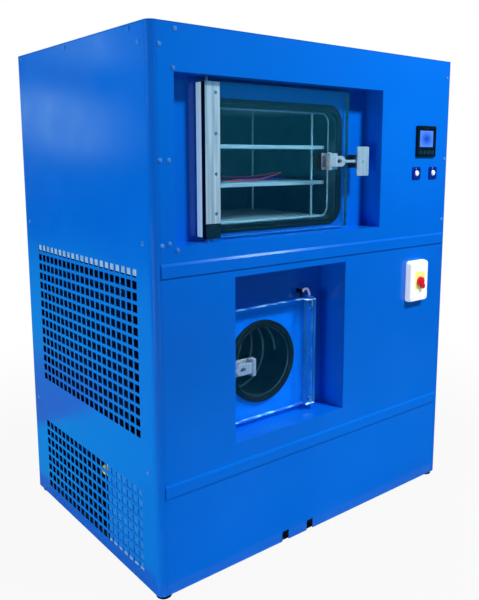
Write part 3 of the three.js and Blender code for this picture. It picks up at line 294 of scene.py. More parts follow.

# %% White and coloured plastics
# The glow on these plastics is painted light: it brightens them where the lamps reach little.
white_plastic = coating("white_plastic", (236, 243, 250), 0.4,
    ((233, 240, 248), (240, 246, 251), 25.0), (0.34, 0.48, 80.0), (1800.0, 0.02, 0.3), glow=0.36)
yellow_label = coating("yellow_label", (244, 240, 140), 0.45,
    ((242, 236, 128), (247, 243, 152), 70.0), (0.38, 0.52, 160.0), glow=0.2)
red_plastic = coating("red_plastic", (226, 8, 46), 0.34, ((220, 6, 42), (232, 11, 51), 60.0),
    (0.28, 0.42, 90.0), (1600.0, 0.02, 0.3))
red_jacket = coating("red_jacket", (236, 66, 112), 0.5, ((226, 56, 102), (246, 78, 124), 90.0),
    (0.42, 0.58, 120.0), (2600.0, 0.03, 0.6), glow=0.05)
blue_jacket = coating("blue_jacket", (72, 92, 232), 0.5, ((62, 80, 222), (84, 106, 242), 90.0),
    (0.42, 0.58, 120.0), (2600.0, 0.03, 0.6), glow=0.05)
hose_white = coating("silicone_hose", (206, 222, 232), 0.45,
    ((196, 214, 226), (216, 229, 237), 80.0), (0.38, 0.54, 150.0), glow=0.2)
lit_plastic = mottled(finish("lit_plastic", (214, 232, 246), 0.3, glow=0.25), 0.24, 0.36, 150.0)

# %% [markdown]
# ## A lit display
# The panel instrument has a backlit liquid crystal, paler towards its edges, where the light is fed in.
# A lamp behind a glass pane would be costly for something so small. A colour ramp over the distance from
# the display's middle paints the same fall-off, and feeds both the colour and the emission.

# %% The backlight fades towards the middle
LIT_WIDE, LIT_TALL = 67, 51
FAR = 1e3  # so large a scale leaves the depth out of the distance
screen_glass = finish("lit_display", (60, 118, 236), 0.22, specular=0.3, glow=0.25)
tree = screen_glass.node_tree
screen_x, _, screen_z = middle("controller_screen")
heart = corner + MM * Vector((screen_x, 0, screen_z))
where = add(tree, "TexCoord", {})
centred = add(tree, "Mapping", {
    "Vector": where.outputs["Object"], "Location": (heart.x, 0, heart.z),
    "Scale": (LIT_WIDE / 2 * MM, FAR, LIT_TALL / 2 * MM),
})
centred.vector_type = "TEXTURE"
far_out = add(tree, "VectorMath", {0: centred.outputs["Vector"]})
far_out.operation = "LENGTH"
fade = add(tree, "ValToRGB", {"Fac": far_out.outputs["Value"]})
fade.color_ramp.elements[0].position = 0.15
fade.color_ramp.elements[0].color = shade(12, 64, 180)
fade.color_ramp.elements[1].position = 1.0
fade.color_ramp.elements[1].color = shade(72, 122, 226)
feed(screen_glass, "Base Color", fade.outputs["Color"])
feed(screen_glass, "Emission Color", fade.outputs["Color"])
mottled(screen_glass, 0.16, 0.26, 120.0)
print("display", LIT_WIDE, "x", LIT_TALL, "mm")

# %% [markdown]
# ## Thick clear acrylic
# The doors are cast acrylic about 20 mm thick, with a cool tint. A glass shader alone would leave the
# chamber black, because lamps don't reach through it; a Light Path switch lets lamp rays straight on,
# dimmed as the plate dims them. The lower door's sheet is nearly colourless, and bends light less.

# %% Faces of the sheet
def clear_sheet(name, tint, dimming, bending):
    material = finish(name, tint, 0.03)
    tree = material.node_tree
    shader = tree.nodes["Principled BSDF"]
    shader.inputs["Transmission Weight"].default_value = 1.0
    shader.inputs["IOR"].default_value = bending
    rays = add(tree, "LightPath", {})
    through = add(tree, "BsdfTransparent", {"Color": shade(*dimming)})
    mixed(tree, rays.outputs["Is Shadow Ray"], through.outputs["BSDF"])
    return mottled(material, 0.01, 0.04, 12.0)


acrylic = clear_sheet("tinted_acrylic", (204, 230, 236), (176, 212, 220), 1.47)
clearer = clear_sheet("clear_acrylic", (224, 244, 248), (226, 240, 240), 1.3)

# %% [markdown]
# ## Edges of the acrylic
# Light caught inside a sheet leaves it at its sawn and sanded edges, so these look brighter and deeper
# than the faces. Tracing that light would take very long, so each edge is an opaque finish with a little
# emission, painted light throughout: pale where it is sanded, deep teal where it looks into the sheet,
# blue where it stands in the recess's shade, with pale cyan patches clouded in as painted glints.

# %% Sanded and sawn edges
sanded_edge = coating("sanded_acrylic_edge", (198, 234, 240), 0.5,
    ((182, 226, 234), (214, 242, 246), 45.0), (0.42, 0.6, 300.0), (2400.0, 0.03, 0.6),
    specular=0.2, glow=0.42)
deep_edge = coating("deep_acrylic_edge", (14, 92, 118), 0.3, ((8, 72, 96), (24, 112, 140), 60.0),
    (0.22, 0.4, 200.0), specular=0.3, glow=0.15)
# Painted shade, dark blue, clouded with pale cyan patches that are painted glints.
blue_edge = coating("edge_shade_and_glints", (40, 128, 220), 0.5,
    ((8, 84, 196), (142, 222, 246), 26.0, EVEN, (0.46, 0.6)), (0.42, 0.6, 300.0),
    specular=0.2, glow=0.14)
# Painted in place of the blue recess seen through the lower bar's clear sides.
soft_edge = coating("soft_blue_edge", (34, 132, 226), 0.4, ((26, 120, 216), (52, 148, 234), 14.0),
    (0.32, 0.5, 120.0), specular=0.2, glow=0.05)

# %% [markdown]
# ## How a shape is made
# Almost every part here is sheet, bar, a turned form or a bent tube. Modifiers such as Solidify, Screw
# and Bevel could make them; bmesh operators do the same work at once, and leave a plain mesh that is
# easy to measure. Each helper draws one kind of form in millimetres from the cabinet's corner. A last
# step rounds the edges, because a sharp corner catches no light.

# %% Outlines in the plane across an axis; arcs count their turn in half circles
def place(axis, a, b, depth):
    return {"x": (depth, a, b), "y": (a, depth, b), "z": (a, b, depth)}[axis]


def ring_of(a, b, wide, tall, steps):
    turns = [2 * math.pi * i / steps for i in range(steps)]
    return [(a + wide * math.cos(t), b + tall * math.sin(t)) for t in turns]


def circle(a, b, radius, steps=48):
    return ring_of(a, b, radius, radius, steps)


def arc(a, b, radius, first, last, steps):
    turns = [math.pi * (first + (last - first) * i / steps) for i in range(steps + 1)]
    return [(a + radius * math.cos(t), b + radius * math.sin(t)) for t in turns]


def hexagon(a, b, across, steps=48):
    ring = []
    for i in range(steps):
        turn = 2 * math.pi * i / steps
        reach = across / 2 / math.cos(turn % (math.pi / 3) - math.pi / 6)
        ring.append((a + reach * math.cos(turn), b + reach * math.sin(turn)))
    return ring


# %% A rectangle with rounded corners, the same grown outwards, and a disc of matching points
def pill(a0, a1, b0, b1, radius, steps=6):
    radius = max(radius, 0.05)
    middles = ((a1 - radius, b1 - radius), (a0 + radius, b1 - radius),
               (a0 + radius, b0 + radius), (a1 - radius, b0 + radius))
    return [
        (a + radius * math.cos(t), b + radius * math.sin(t))
        for quarter, (a, b) in enumerate(middles)
        for t in (math.pi / 2 * (quarter + i / steps) for i in range(steps + 1))
    ]


def grown(box, grow, radius, steps=12):
    a0, a1, b0, b1 = box
    return pill(a0 - grow, a1 + grow, b0 - grow, b1 + grow, radius + grow, steps)


def dot(a, b, radius, steps=12):
    return pill(a - radius, a + radius, b - radius, b + radius, radius, steps)


# %% Rounded edges
def ease(bm, radius, segments=2, angle=28):
    sharp = [
        e for e in bm.edges
        if len(e.link_faces) == 2 and e.calc_face_angle(0) > math.radians(angle)
    ]
    bmesh.ops.bevel(
        bm, geom=sharp, offset=radius, segments=segments, profile=0.5, affect="EDGES",
        clamp_overlap=True,
    )
    return bm


# %% A skin over rings of matching points
def loft(rings, closed=False):
    bm = bmesh.new()
    rows = [[bm.verts.new(p) for p in ring] for ring in rings]
    for near, far in zip(rows, rows[1:] + (rows[:1] if closed else [])):
        for i, point in enumerate(near):
            bm.faces.new((near[i - 1], point, far[i], far[i - 1]))
    if not closed:
        bm.faces.new(rows[0])
        bm.faces.new(rows[-1])
    bmesh.ops.remove_doubles(bm, verts=bm.verts, dist=0.004)
    bmesh.ops.recalc_face_normals(bm, faces=bm.faces)
    return bm


def stack(outlines, axis, closed=False):
    return loft([[place(axis, a, b, depth) for a, b in outline] for outline, depth in outlines],
        closed)


# %% A turned form, from radii along an axis; the depths count from `start`
def turned(profile, axis, a, b, steps=48, start=0):
    closed = profile[0] == profile[-1]
    rings = [(circle(a, b, radius, steps), start + depth) for radius, depth in profile]
    return stack(rings[:-1] if closed else rings, axis, closed)


# %% A plate with holes: fill the outlines once, then give the sheet its other face and its rims
def cut_plate(outlines, near, far, axis, soft=0, segments=2):
    bm = bmesh.new()
    other = {}
    rims = []
    for outline in outlines:
        front = [bm.verts.new(place(axis, a, b, near)) for a, b in outline]
        other.update(
            {v: bm.verts.new(place(axis, a, b, far)) for v, (a, b) in zip(front, outline)}
        )
        rims += [(front[i - 1], v) for i, v in enumerate(front)]
    edges = [bm.edges.new(pair) for pair in rims]
    bmesh.ops.triangle_fill(bm, use_beauty=True, edges=edges)
    for face in bm.faces[:]:
        bm.faces.new([other[v] for v in face.verts])
    for v, w in rims:
        bm.faces.new((v, w, other[w], other[v]))
    bmesh.ops.recalc_face_normals(bm, faces=bm.faces)
    return ease(bm, soft, segments) if soft else bm


def block(x0, x1, y0, y1, z0, z1, soft=0):
    flat = pill(x0, x1, y0, y1, 0, 1)
    bm = stack([(flat, z0), (flat, z1)], "z")
    return ease(bm, soft) if soft else bm


# %% A tube or a wire along points; with a bore it is open at both ends
def tube(points, radius, sides=16, bore=0):
    points = [Vector(p) for p in points]
    across = None
    skins = [[], []]
    for i, point in enumerate(points):
        ahead = (points[min(i + 1, len(points) - 1)] - points[max(i - 1, 0)]).normalized()
        across = across or ahead.orthogonal()
        across = (across - ahead * across.dot(ahead)).normalized()
        side = ahead.cross(across)
        for skin, reach in zip(skins, (radius, bore)):
            skin.append([point + across * a + side * b for a, b in circle(0, 0, reach, sides)])
    return loft(skins[0] + skins[1][::-1], True) if bore else loft(skins[0])


def bent(points, radius, steps=8):
    points = [Vector(p) for p in points]
    way = [points[0]]
    for before, turn, after in zip(points, points[1:], points[2:]):
        start = turn + (before - turn).normalized() * radius
        end = turn + (after - turn).normalized() * radius
        for i in range(steps + 1):
            t = i / steps
            way.append(start.lerp(turn, t).lerp(turn.lerp(end, t), t))
    return way + [points[-1]]


# %% Several solids as one piece, a second finish on chosen faces, and a turn about a point
def together(*solids):
    whole = bmesh.new()
    for solid in solids:
        mesh = bpy.data.meshes.new("solid")
        solid.to_mesh(mesh)
        solid.free()
        whole.from_mesh(mesh)
        bpy.data.meshes.remove(mesh)
    return whole


def coat(bm, index, chosen):
    bm.normal_update()
    for face in bm.faces:
        if chosen(face):
            face.material_index = index
    return bm


def spun(bm, axis, point, degrees):
    about = Vector(point)
    bm.transform(Matrix.Translation(about) @ Matrix.Rotation(math.radians(degrees), 4, axis)
        @ Matrix.Translation(-about))
    return bm


# %% The CAD's own solid with its triangles joined into flat faces and its edges rounded
def eased(node, radius):
    bm = bmesh.new()
    bm.from_mesh(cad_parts[node].data)
    bm.transform(Matrix.Scale(1 / MM, 4) @ Matrix.Translation(-corner))
    bmesh.ops.remove_doubles(bm, verts=bm.verts, dist=0.02)
    bmesh.ops.dissolve_limit(
        bm, angle_limit=math.radians(0.6), verts=bm.verts, edges=bm.edges
    )
    return ease(bm, radius)


# %% A drawn shape becomes a piece; one that is called NODE_shown stands for that CAD node
SHOWN, CREASE = "_shown", 32


def made(name, bm, slot, *finishes, body="cabinet", nodes=()):
    bm.transform(Matrix.Translation(corner) @ Matrix.Scale(MM, 4))
    bmesh.ops.triangulate(bm, faces=[f for f in bm.faces if len(f.verts) > 4])
    mesh = bpy.data.meshes.new(name)
    bm.to_mesh(mesh)
    bm.free()
    obj = bpy.data.objects.new(name, mesh)
    scene.collection.objects.link(obj)
    for each in finishes:
        mesh.materials.append(each)
    mesh.polygons.foreach_set("use_smooth", [True] * len(mesh.polygons))
    mesh.set_sharp_from_angle(angle=math.radians(CREASE))
    even = obj.modifiers.new("even_shading", "WEIGHTED_NORMAL")
    even.keep_sharp = True
    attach(obj, body)
    if not nodes and name.endswith(SHOWN):
        nodes = [name.removesuffix(SHOWN)]
    if nodes:
        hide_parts(*nodes)
    print(name, "has", len(mesh.polygons), "faces")
    return obj


# %% A button-head screw with a hexagon socket, and a nut; `out` is -1 where a head faces down its axis
def screw(axis, a, b, seat, out, radius=4.5, proud=2.2):
    steps = 24
    return stack([
        (circle(a, b, radius, steps), seat),
        (circle(a, b, radius, steps), seat + out * 0.35 * proud),
        (circle(a, b, 0.92 * radius, steps), seat + out * 0.7 * proud),
        (circle(a, b, 0.74 * radius, steps), seat + out * 0.94 * proud),
        (hexagon(a, b, 0.95 * radius, steps), seat + out * proud),
        (hexagon(a, b, 0.85 * radius, steps), seat + out * 0.35 * proud),
    ], axis)


def nut(axis, a, b, near, far, across, bore):
    chamfer = 0.15 * (far - near)
    return stack([
        (circle(a, b, 0.92 * across / 2), near), (hexagon(a, b, across), near + chamfer),
        (hexagon(a, b, across), far - chamfer), (circle(a, b, 0.92 * across / 2), far),
        (circle(a, b, bore), far), (circle(a, b, bore), near),
    ], axis, True)


# %% [markdown]
# ## The two probe leads
# Two thin thermocouple leads lie loose on the middle shelf: they leave gland bosses in the rear wall, run
# over the shelf and end in bright metal probe tips that a user pushes into the product. A simulated
# cable would settle a little differently each time; limp, short leads are better listed point by point,
# in millimetres. A curve with a round bevel keeps them smooth between the points.

# %% Their routes, from the boss towards the door
port_x, _, _ = middle("vapour_duct")
boss_face = at("product_chamber")[3] - (3 + 12 + GAP)
lead_radius = 2
lie = at("middle_shelf")[5] + 2 * GAP + lead_radius
lead_routes = {
    "red": [(100, 0, 6), (100, -24, 6), (102, -52, 4), (112, -84, 2), (128, -116, 2),
        (150, -148, 5), (176, -178, 10), (196, -208, 16), (198, -236, 19), (178, -258, 18),
        (148, -270, 13), (114, -279, 8), (80, -286, 3), (44, -293, 1), (6, -300, 0),
        (-30, -308, 0), (-62, -318, 0)],
    "blue": [(140, 0, 6), (140, -24, 6), (141, -52, 4), (148, -82, 2),
        (162, -112, 0.5), (182, -140, 0), (204, -166, 0), (218, -196, 0), (219, -226, 0),
        (206, -252, 0), (182, -264, 0), (154, -262, 0), (126, -252, 0), (100, -242, 0),
        (74, -236, 0), (48, -234, 0)],
}


# %% A curve laid through the points
def laid(name, points, jacket):
    curve = bpy.data.curves.new(name, "CURVE")
    curve.dimensions = "3D"
    curve.bevel_depth = lead_radius * MM
    curve.bevel_resolution = 4
    curve.resolution_u = 8
    curve.use_fill_caps = True
    spline = curve.splines.new("BEZIER")
    spline.bezier_points.add(len(points) - 1)
    for knot, point in zip(spline.bezier_points, points):
        knot.co = corner + MM * point
        knot.handle_left_type = knot.handle_right_type = "AUTO"
    curve.materials.append(jacket)
    obj = bpy.data.objects.new(name, curve)
    scene.collection.objects.link(obj)
    return obj


# %% A form turned about a lead's end, pointing along it
def on_the_end(profile, end, way):
    bm = turned(profile, "z", 0, 0, 24)
    bm.transform(
        Matrix.Translation(end) @ Vector((0, 0, 1)).rotation_difference(way).to_matrix().to_4x4()
    )
    return bm


# %% Both leads, each with its probe tip and its gland sleeve
for colour, jacket in (("red", red_jacket), ("blue", blue_jacket)):
    name = "probe_lead_" + colour
    points = [
        Vector((port_x + x, boss_face + y, lie + rise)) for x, y, rise in lead_routes[colour]
    ]
    wire = laid(name, points, jacket)
    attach(wire, "cabinet")
    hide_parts(name)
    tip = on_the_end(
        [(0, -4), (2.2, -4), (2.4, -3.2), (2.4, 6), (1.5, 8), (1.5, 26), (1.0, 28), (0, 28.6)],
        points[-1], points[-1] - points[-2],
    )
    tip = made(name + "_tip", tip, "stainless", steel)
    sleeve = on_the_end(
        [(0, 0), (4.2, 0), (4.2, 3), (2.6, 17), (2.1, 20), (0, 20)],
        points[0], points[1] - points[0],
    )
    sleeve = made(name + "_sleeve", sleeve, "seal_rubber", rubber)

# %% [markdown]
# ## Frame and feet
# Square tube and folded sheet, welded and painted dark: it carries everything, and mostly it is seen
# only through the grilles. The CAD solids already have the right shape here, so their own triangles are
# joined into flat faces and their edges rounded, rather than drawn again.

# %% Base, rear uprights and the deck under the ice condenser
def dress(slot, paint, radius, *nodes):
    for node in nodes:
        made(node + SHOWN, eased(node, radius), slot, paint)


dress("dark_steel", frame_steel, 0.8, "base_frame", "rear_frame", "equipment_deck")

# %% [markdown]
# ## Feet
# Rubber pads on threaded stems, each with a lock nut. A true helix would cost many faces on a thread
# that is a hand's breadth above the floor; rings of two radii in turn look the same from any standing
# height.

# %% Feet
PAD_TOP = 8.4
for node in ("foot_front_left", "foot_rear_left", "foot_front_right", "foot_rear_right"):
    x, y, _ = middle(node)
    pad = turned([(0, 0), (18.5, 0), (20, 1.4), (20, 3.6), (18.4, 5), (10, 8), (8, PAD_TOP),
        (0, PAD_TOP)], "z", x, y)
    made(node + "_pad", pad, "seal_rubber", rubber, nodes=[node])
    thread = [(6 - 0.5 * (i % 2), PAD_TOP + 1.1 * i) for i in range(26)]
    stem = turned([(0, PAD_TOP), *thread, (0, at(node)[5])], "z", x, y, 24)
    lock = nut("z", x, y, 8.5, 11.6, 17, 6.1)
    made(node + "_stem", together(stem, lock), "seal_rubber", zinc, nodes=[node])

# %% [markdown]
# ## The blue skin
# Two millimetre sheet, punched, folded and stoved. The front posts are rolled to a large radius, and
# the roof takes the same radius at its front corners. A Bevel could round a plain box, but a post has
# an inside too: one outline of arcs and folds, drawn in plan and raised to its height, gives both.

# %% Rolled front posts
BEND, LEG, POST_WALL, LIP_FOLD, SEAT = 18, 20, 2.5, 16, SHEET + GAP
outer = arc(BEND, BEND, BEND, 1, 1.5, 12)
inner = arc(BEND, BEND, BEND - POST_WALL, 1, 1.5, 12)[::-1]
wall_line, fold_end = SEAT + POST_WALL, LEG + LIP_FOLD
left_post = [(0, LEG), *outer, (LEG, 0), (LEG, SEAT), (fold_end, SEAT), (fold_end, wall_line),
    (LEG, wall_line), *inner, (wall_line, LEG), (wall_line, fold_end), (SEAT, fold_end), (SEAT, LEG)]
right_post = [(WIDE - x, y) for x, y in left_post]
*_, post_foot, post_top = at("corner_post_front_left")
for side, outline in (("left", left_post), ("right", right_post)):
    post = cut_plate([outline], post_foot, post_top, "z", 0.4)
    made("corner_post_front_" + side + SHOWN, post, "blue_paint", enamel)

# %% Roof, with the posts' radius at its front corners
outline = [*outer, *[(WIDE - x, y) for x, y in outer[::-1]], (WIDE, DEEP), (0, DEEP)]
roof = cut_plate([outline], TALL - SHEET, TALL, "z", 0.6, 3)
made("roof_shown", roof, "blue_paint", enamel, nodes=["roof_panel"])

# %% [markdown]
# ## The grilles
# The left side is punched with two fields of square holes, so that the plant behind can breathe. A
# Boolean for each hole would be slow and leave slivers. Instead the sheet's outline and every hole's
# are filled in one go, and the filled face is then given its thickness.

# %% The left side's two grilles
HOLE, PITCH, FIRST_HOLE, COLUMNS = 20, 29, 81, 21
LOWER_FIELD, UPPER_FIELD = (46, 8), (408, 15)  # height of the first row, and the number of rows
x0, x1, side_front, side_back, z0, z1 = at("left_side_panel")
columns = [FIRST_HOLE + PITCH * i for i in range(COLUMNS)]
rows = [foot + PITCH * i for foot, count in (LOWER_FIELD, UPPER_FIELD) for i in range(count)]
punched = [pill(y - 1, y + HOLE + 1, z, z + HOLE, 1.6, 2) for y in columns for z in rows]
outline = pill(side_front, side_back, z0, z1, 0.8, 1)
side = cut_plate([outline, *punched], x0, x1, "x", 0.4, 1)
made("left_side_shown", side, "blue_paint", enamel, nodes=["left_side_panel"])
print(len(punched), "square holes")

# %% [markdown]
# ## Panels, recesses and their screws
# The front panels lap over each other like shingles, so water runs off outside, and each door hangs in
# a folded recess. Both keep the CAD's shape. The screws that hold the sheets were painted over, so
# their sockets are filled and only soft domes are left: one turned profile, repeated.

# %% Flat panels, lapped fronts and folded recesses
dress("blue_paint", enamel, 0.5, "right_side_panel", "rear_panel", "lower_front_panel",
    "middle_front_panel", "upper_front_panel", "upper_recess_liner", "lower_recess_liner")

# %% Painted-over screw heads near the corners
front_spots = [(27, 1348), (69, 1385), (62, 1300), (23.5, 1093), (47, 1093), (25, 897), (45, 900),
    (67, 884)]
front_spots += [(WIDE - x, z) for x, z in (front_spots[0], front_spots[3], front_spots[5])]
side_spots = [(45, 1355), (88, 1388), (434, 1388), (740, 1388), (45, 900), (740, 900), (45, 330),
    (740, 330)]
SUNK = 0.05


def dome(axis, a, b, seat, out):
    profile = [(0, 0), (6, 0), (6, 0.5), (5.6, 1.2), (4.6, 2.0), (3, 2.6), (1.2, 2.9), (0, 2.9)]
    return turned([(r, out * d) for r, d in profile], axis, a, b, 24, seat)


heads = [dome("y", x, z, -SUNK, -1) for x, z in front_spots]
heads += [dome("x", y, z, -SUNK, -1) for y, z in side_spots]
heads += [dome("x", y, z, WIDE + SUNK, 1) for y, z in side_spots]
# The domes take the paler enamel: a painted highlight.
made("painted_screws", together(*heads), "blue_paint", screw_highlight)

# %% [markdown]
# ## Behind the grilles
# Close behind the lower grille a painted plate blanks its front third, a brass service valve sits at
# the plate's edge, and a galvanised rail backs the top row of the upper grille. Flat pictures behind
# the holes would slide wrongly when the view moves; thin solids at their own depth don't.

# %% Blanking plate and galvanised rail
BLANK_FRONT, BLANK_BACK, RAIL_FRONT, RAIL_BACK = 75, 271, 76, 690
blank = cut_plate([pill(BLANK_FRONT, BLANK_BACK, 52.2, 271, 2, 2)], 2.1, 3.6, "x", 0.3, 1)
made("blanking_plate", blank, "blue_paint", plate_blue)
edge = block(2.1, 5.2, BLANK_FRONT, BLANK_BACK, 44.5, 52, 0.4)
made("blanking_edge", edge, "brushed_aluminium", zinc)
rail = together(block(2.3, 3.9, RAIL_FRONT, RAIL_BACK, 817, 837, 0.3),
    block(3.9, 18, RAIL_FRONT, RAIL_BACK, 835, 837, 0.3))
made("grille_rail", rail, "brushed_aluminium", zinc)

# %% Brass service valve on a copper line
VALVE_X, VALVE_Y, VALVE_Z = 26, 303, 238
valve = together(
    nut("x", VALVE_Y, VALVE_Z, 6, 15, 24, 5),
    turned([(5, 15), (11, 15), (11, 19), (9, 20), (9, 34), (6, 36), (5, 36), (5, 15)],
        "x", VALVE_Y, VALVE_Z),
    nut("z", VALVE_X, VALVE_Y, 248, 257, 17, 4),
    nut("z", VALVE_X, VALVE_Y, 219, 229, 19, 4),
    turned([(0, 229), (8, 229), (8, 248), (0, 248)], "z", VALVE_X, VALVE_Y, 32),
)
made("service_valve", ease(valve, 0.5, 2, 40), "stainless", brass)
line = bent([(VALVE_X, VALVE_Y, 222), (VALVE_X, VALVE_Y, 96), (70, VALVE_Y, 96), (112, 301, 110)], 22)
made("service_line", tube(line, 4.8), "stainless", copper)

# %% [markdown]
# ## The product chamber
# A welded stainless box with a short neck round its mouth. The neck's rear edge is rolled, and shows as
# a bright line all the way round through the shut door. A wide port in the rear wall leads the vapour
# to the ice condenser, and two glands beside it let the probe leads in. Joined boxes would need
# Booleans at each step; one skin lofted through rings of matching points has clean corners throughout.

# %% The mouth that the seal and the neck both follow
SEAL = 20
x0, x1, seal_front, seal_back, z0, z1 = at("chamber_seal")
mouth_box = (x0 + SEAL, x1 - SEAL, z0 + SEAL, z1 - SEAL)


def mouth(grow):
    return grown(mouth_box, grow, 30)


# %% Neck, body and vapour port in one skin
NECK, STEP, WALL, FLANGE, PORT, FOLD = 30, 14, 3, 4, 47, 8
_, _, neck_front, chamber_back, _, _ = at("product_chamber")
body_front, body_back = neck_front + NECK, chamber_back - WALL
body_box = (mouth_box[0] - STEP, mouth_box[1] + STEP, mouth_box[2] - STEP, mouth_box[3] + STEP)
port_z = (body_box[2] + body_box[3]) / 2
port = dot(port_x, port_z, PORT)
chamber = stack([
    (mouth(0), neck_front), (mouth(0), body_front), (grown(body_box, 0, FOLD), body_front),
    (grown(body_box, 0, FOLD), body_back), (port, body_back), (port, chamber_back),
    (grown(body_box, WALL, FOLD), chamber_back), (grown(body_box, WALL, FOLD), body_front - WALL),
    (mouth(WALL), body_front - WALL), (mouth(WALL), neck_front + FLANGE),
    (mouth(SEAL + 10), neck_front + FLANGE), (mouth(SEAL + 10), neck_front),
], "y", True)
made("chamber_shown", ease(chamber, 1.3, 3), "stainless", inner_steel, nodes=["product_chamber"])

# %% The rolled edge at the neck's rear, and the glands of the leads
bead = [
    (mouth(reach), body_front + rise)
    for reach, rise in ((-0.1, 2), (-2.2, 1.4), (-3.0, 0), (-2.2, -1.4), (-0.1, -2))
]
made("neck_bead", stack(bead, "y", True), "stainless", bright_steel)
glands = []
for (x, _, z), *_ in lead_routes.values():
    x, z = port_x + x, lie + z
    glands += [nut("y", x, z, body_back - 11.5, body_back - 4, 12, 3),
        turned([(0, 0), (6, 0), (6, -4), (0, -4)], "y", x, z, 32, body_back)]
made("lead_glands", together(*glands), "stainless", steel, nodes=["product_chamber"])

# %% [markdown]
# ## The chamber's seal
# A black rubber gasket with two lips lies round the mouth, where the door presses on it. A curve with
# its own bevel profile could follow the mouth. Growing the mouth's outline by each step of the profile
# is more exact at the corners.

# %% The door seal: two lips and a groove between them
lips = [(SEAL, seal_back), (SEAL, seal_front + 1.6), (SEAL - 1.4, seal_front + 0.2),
    (13, seal_front), (11.6, seal_front + 1.2), (8.4, seal_front + 1.2), (7, seal_front),
    (1.4, seal_front + 0.2), (0, seal_front + 1.6), (0, seal_back)]
seal = stack([(mouth(g), y) for g, y in lips], "y", True)
made("chamber_seal_shown", seal, "seal_rubber", rubber)

# %% [markdown]
# ## Shelves
# Three thick aluminium shelves rest on collars of four steel rods, hung from a plate of the same size.
# Each rod and its collars are one turned profile, built up shelf by shelf in a loop, so a collar is
# always just under its shelf. An array would only do if the shelves were evenly spaced.

# %% Rods with their collars, and the plate they hang from
INSET, ROD, COLLAR, THICK = 27, 4, 8, 10
rack_x0, rack_x1, rack_y0, rack_y1, rod_foot, rack_top = at("shelf_rack")
shelves = {node: at(node) for node in ("lower_shelf", "middle_shelf", "upper_shelf")}
rods = [(x, y) for x in (rack_x0 + INSET, rack_x1 - INSET) for y in (rack_y0 + INSET, rack_y1 - INSET)]
rod_profile = [(0, rod_foot), (ROD - 0.8, rod_foot), (ROD, rod_foot + 0.8)]
for *_, z0, _ in shelves.values():
    top = z0 - GAP
    rod_profile += [(ROD, top - 4), (COLLAR - 0.7, top - 4), (COLLAR, top - 3.3), (COLLAR, top - 0.7),
        (COLLAR - 0.7, top), (ROD, top)]
rod_profile += [(ROD, rack_top - THICK + 1), (0, rack_top - THICK + 1)]
head = cut_plate([pill(rack_x0, rack_x1, rack_y0, rack_y1, 4)], rack_top - THICK, rack_top, "z", 1.2)
rack = together(head, *[turned(rod_profile, "z", x, y, 32) for x, y in rods])
made("shelf_rack_shown", rack, "stainless", bright_steel)

# %% Shelf plates
for node, (x0, x1, y0, y1, z0, z1) in shelves.items():
    bores = [circle(x, y, ROD + 1.2, 32) for x, y in rods]
    shelf = cut_plate([pill(x0, x1, y0, y1, 4), *bores], z0, z1, "z", 1.4, 3)
    made(node + SHOWN, shelf, "brushed_aluminium", shelf_metal)

# %% [markdown]
# ## The ice condenser
# A round stainless vessel on its side. Its rolled lip stands just inside the black seal, and shows as a
# thin pale ring. Both are turned, so each is one list of radii and depths: the inside, the lip and the
# outside come from the same line, and the wall is closed all round.

# %% Vessel and lip
LIP, RIM, BORE, OUTSIDE = 98, 130, 112, 116
axis_x, _, axis_z = middle("condenser_vessel")
vessel_front, vessel_back = at("condenser_vessel")[2:4]
length = vessel_back - vessel_front
vessel = turned([
    (LIP, -6), (LIP + 0.7, -7.6), (LIP + 2, -8.2), (LIP + 3.2, -7.6), (LIP + 3.8, -6),
    (LIP + 3.8, 0), (RIM, 0), (RIM, 6), (OUTSIDE, 6), (OUTSIDE, length), (PORT, length),
    (PORT, length - 4), (BORE, length - 4), (BORE, 20), (LIP, 6), (LIP, -6),
], "y", axis_x, axis_z, 96, vessel_front)
made("vessel_shown", vessel, "stainless", inner_steel, nodes=["condenser_vessel"])

# %% Round seal
y0, y1 = at("condenser_seal")[2:4]
SEAL_RIM, SEAL_BORE = 118, LIP + 4
ring = turned([
    (SEAL_RIM, y1), (SEAL_RIM, y0 + 1.8), (116.4, y0 + 0.2), (111.5, y0), (110.2, y0 + 1.2),
    (108.4, y0 + 1.2), (107, y0), (103.6, y0 + 0.2), (SEAL_BORE, y0 + 1.8), (SEAL_BORE, y1),
    (SEAL_RIM, y1),
], "y", axis_x, axis_z, 96)
made("condenser_seal_shown", ring, "seal_rubber", rubber)

# %% [markdown]
# ## The ice coil
# Refrigerant runs through a pipe coiled close inside the vessel's wall, and the vapour freezes onto it.
# The Screw modifier could wind it; a formula for the helix lays its turns a hair inside the wall, and
# the tube helper follows them.

# %% Five turns of pipe
PIPE, TURNS, CUTS = 5, 5, 44
coil_front, coil_back = at("ice_coil")[2:4]
coil_radius = BORE * math.cos(math.pi / 24) - PIPE - GAP
steps = CUTS * TURNS
helix = [
    (axis_x + coil_radius * math.cos(2 * math.pi * TURNS * i / steps),
     coil_front + PIPE + (coil_back - coil_front - 2 * PIPE) * i / steps,
     axis_z + coil_radius * math.sin(2 * math.pi * TURNS * i / steps))
    for i in range(steps + 1)
]
made("ice_coil_shown", ease(tube(helix, PIPE), 0.8, 2, 60), "brushed_aluminium", inner_steel)

# %% [markdown]
# ## The vapour duct
# A wide pipe leaves the chamber's rear wall, turns down and comes back into the ice condenser, with a
# bolted flange at each end. It is a tube with a bore, open at both ends, drawn along four points whose
# corners are bent to a radius, as a pipe bender would; a sweep along a curve object would do as well.

